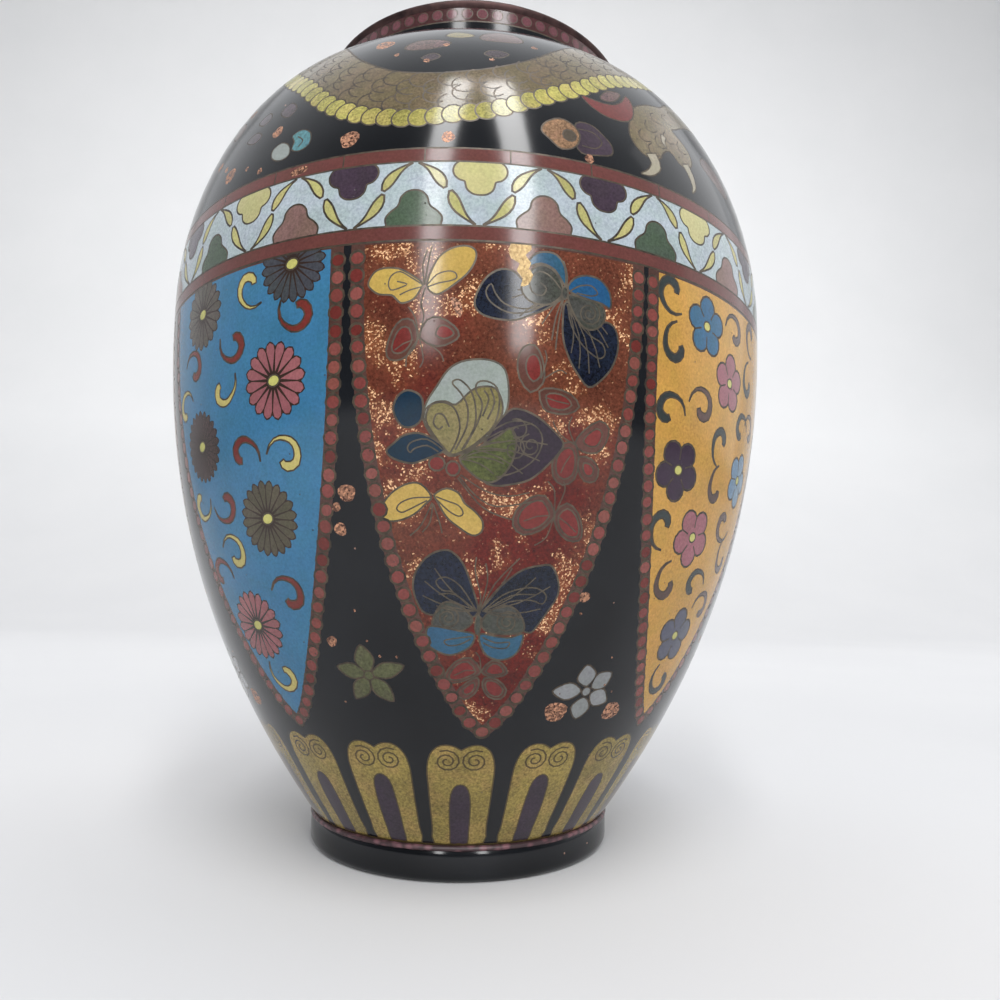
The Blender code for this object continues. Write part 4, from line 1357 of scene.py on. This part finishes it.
def jarCore():  # the underside, and the inside with the lip
    wall = [wallInside(lowerBody, i / core["lowerSteps"], jar["wall"]) for i in range(core["lowerSteps"])]
    wall += [wallInside(shoulder, i / core["upperSteps"], jar["wall"]) for i in range(core["upperSteps"])]
    wall = [point for point in wall if point[1] > jar["floorTop"] + core["above"]
            and (point[0] > jar["mouthRadius"] + core["beyond"] or point[1] < core["lowerTo"])]
    ceiling = jar["shoulderHeight"] - jar["wall"]
    ring = jar["footRadius"] - jar["footRound"]
    points = [(jar["startRadius"], jar["startHeight"])]
    points += arc(core["bead"], core["beadRadius"], 75, -75, 4)
    points += core["footTop"]
    points += arc((ring, jar["footRound"]), jar["footRound"], 0, -90, 6)
    points += [(ring - jar["footRing"], 0.0),
               (ring - jar["footRing"] - jar["footSlope"], jar["footRecess"]),
               (0.0, jar["footRecess"])]
    inner = [(0.0, jar["floorTop"]), (wall[0][0] - 0.8, jar["floorTop"])] + wall
    radius = core["ceilingRound"]
    inner += arc((jar["mouthRadius"] + radius, ceiling + radius), radius, 270, 180, 3)
    radius = core["mouthRound"]
    inner += arc((jar["mouthRadius"] + radius, jar["lipTop"] - radius), radius, 180, 90, 3)
    radius = core["lipRound"]
    inner += arc((jar["lipRadius"] - radius, jar["lipTop"] - radius), radius, 90, 0, 4)
    inner += core["lipStep"] + [(jar["neckRadius"], jar["neckTop"])]
    return points, inner


areas = {"lipFrom": 143.9, "mouthFrom": 141.0, "mouthRadius": 28.0, "beads": (4.7, 5.65),
         "beadRadius": 26.5, "footTo": 4.8, "recessRadius": 21}


def bodySlot(radius, height):
    if height > areas["lipFrom"] or (radius < areas["mouthRadius"] and height > areas["mouthFrom"]):
        return "lip"
    if areas["beads"][0] < height < areas["beads"][1] and radius > areas["beadRadius"]:
        return "bead"
    if height < areas["footTo"] and radius > areas["recessRadius"]:
        return "black"
    return "counter"


under, inside = jarCore()
jarSkin = layOn(drawing, "jar_skin")
jarCoreParts = [turn("jar_under", under, jar["around"], bodySlot, drawing.start),
                turn("jar_inside", inside, jar["around"], bodySlot, drawing.start)]
jarPiece = joined(jarSkin, jarCoreParts, drawing)
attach(jarPiece, "root")
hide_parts("jar_body")
print("jar done")


# The lid: a shallow dome with a flange in the neck, finished like the shoulder and plainer

lid = {"radius": 29.0, "low": 145.6, "edge": 0.8, "rise": 9.0, "wall": 1.8, "flange": (25.3, 26.7),
       "flangeLow": 141.0, "round": 0.3, "edgeRound": 0.35, "outside": 48, "underside": 14, "around": 96,
       "row": 2.0, "border": (0.15, 3.1), "dotWay": 1.6, "dots": 60, "ring": 2.1, "dot": 1.75,
       "sprays": 6, "firstSpray": 8,
       "bands": ((3.1, 3.35, "wire"), (20.6, 20.9, "wire"), (20.9, 22.2, "maroon"), (22.2, 22.5, "wire"))}


def dome(radius):
    return lid["low"] + lid["edge"] + lid["rise"] * (1 - (radius / lid["radius"]) ** 2)


def domeRows(radius, steps):  # from the rim to just short of the middle
    across = [radius * math.cos(math.pi / 2 * i / steps) for i in range(steps)]
    return [(here, dome(here)) for here in across]


lidOutline = Outline(domeRows(lid["radius"], lid["outside"]) + [(0.0, dome(0.0))])


def drawLid(drawing):
    drawing.move()
    drawing.band(*lid["border"], "neckMaroon")
    for i in range(lid["dots"]):
        centre = (360 / lid["dots"] * i, lid["dotWay"])
        drawing.fill(drawing.oval(centre, lid["ring"], lid["ring"], 0, 11), "beadWire")
        drawing.fill(drawing.oval(centre, lid["dot"], lid["dot"], 0, 10), "neckDot")
    for low, high, color in lid["bands"]:
        drawing.band(low, high, color)
    for i in range(lid["sprays"]):
        drawing.move(360 / lid["sprays"] * i + lid["firstSpray"])
        blossom(drawing, (0, 11.5), ("flowerPink", "flowerSky")[i % 2])
        hook(drawing, (-17, 7.6), 60, 290, "hookYellow", 0.9)
        hook(drawing, (15, 12.4), 250, -280, "hookRed", 0.9)
        drop(drawing, (28, 7.5), 0.9)
        drop(drawing, (-28, 15.0), 0.5)


def lidCore():
    inner, outer = lid["flange"]
    edge, radius = lid["edgeRound"], lid["round"]
    points = [(lid["radius"], dome(lid["radius"]))]
    points += arc((lid["radius"] - edge, lid["low"] + edge), edge, 0, -90, 4)
    points += arc((outer + radius, lid["low"] - radius), radius, 90, 180, 3)
    points += arc((outer - radius, lid["flangeLow"] + radius), radius, 0, -90, 3)
    points += arc((inner + radius, lid["flangeLow"] + radius), radius, 270, 180, 3)
    points += [(here, height - lid["wall"]) for here, height in domeRows(inner, lid["underside"])]
    return points + [(0.0, dome(0.0) - lid["wall"])]


def lidSlot(radius, height):
    if radius > lid["radius"] - 0.6:
        return "black"
    return "lip" if radius > lid["flange"][0] - 0.1 else "counter"


lidDrawing = Drawing(lidOutline, -180.0, 20.0, lid["around"], lid["row"])
drawLid(lidDrawing)
lidSkin = layOn(lidDrawing, "lid_skin")
lidUnder = turn("lid_under", lidCore(), lid["around"], lidSlot, lidDrawing.start)
lidPiece = joined(lidSkin, [lidUnder], lidDrawing)
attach(lidPiece, "root")
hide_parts("lid")
print("lid done")


# The knob: a cast brass bud with eight soft lobes, rubbed on their backs

knob = {"seatRadius": 5.6, "seatHeight": 1.2, "stemRadius": 2.6, "stemHeight": 2.2, "budRadius": 6.0,
        "budHeight": 9.2, "tipRadius": 0.9, "tipHeight": 1.2, "gap": 0.3, "lobes": 8, "lobeDepth": 0.075,
        "around": 96, "steps": 26}


def knobOutline():
    seatTop = dome(0.0) + knob["gap"] + knob["seatHeight"]
    stemTop = seatTop + knob["stemHeight"]
    budTop = stemTop + knob["budHeight"]
    points = [(0.0, budTop + knob["tipHeight"]), (knob["tipRadius"] * 0.7, budTop
                                                  + knob["tipHeight"] * 0.93),
              (knob["tipRadius"], budTop + knob["tipHeight"] / 2)]
    core = knob["stemRadius"] / 3
    for i in range(knob["steps"] + 1):
        share = i / knob["steps"]
        swell = math.sin(math.pi * (0.06 + 0.88 * share ** 0.85)) ** 0.8
        points.append((core + (knob["budRadius"] - core) * swell, budTop - knob["budHeight"] * share))
    points += [(knob["stemRadius"] * 0.92, seatTop + knob["stemHeight"] * 0.7),
               (knob["stemRadius"], seatTop + knob["stemHeight"] / 3),
               (knob["seatRadius"] * 0.62, seatTop + 0.12), (knob["seatRadius"] * 0.85, seatTop)]
    points += arc((knob["seatRadius"] - 0.45, seatTop - 0.55), 0.45, 60, -40, 5)
    seat = [knob["seatRadius"] * i / 3 for i in range(3, -1, -1)]
    points += [(radius, dome(radius) + knob["gap"]) for radius in seat]
    return points, stemTop, budTop


knobPoints, budLow, budHigh = knobOutline()
knobPiece = turn("knob_bud", knobPoints, knob["around"], lambda radius, height: "brass")
for vertex in knobPiece.data.vertices:  # the lobes are pressed into the turned bud
    height = vertex.co.z / millimetre
    share = min(max((height - budLow) / (budHigh - budLow), 0), 1)
    angle = math.atan2(vertex.co.x, -vertex.co.y) + 0.25 * share
    groove = (0.5 - 0.5 * math.cos(knob["lobes"] * angle)) ** 3 * math.sin(math.pi * share) ** 0.6
    vertex.co.x *= 1 - knob["lobeDepth"] * groove
    vertex.co.y *= 1 - knob["lobeDepth"] * groove
bpy.ops.object.select_all(action="DESELECT")
knobPiece.select_set(True)
bpy.context.view_layer.objects.active = knobPiece
bpy.ops.object.shade_smooth_by_angle(angle=40 * degree)
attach(knobPiece, "root")
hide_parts("lid_knob")
print("knob done")
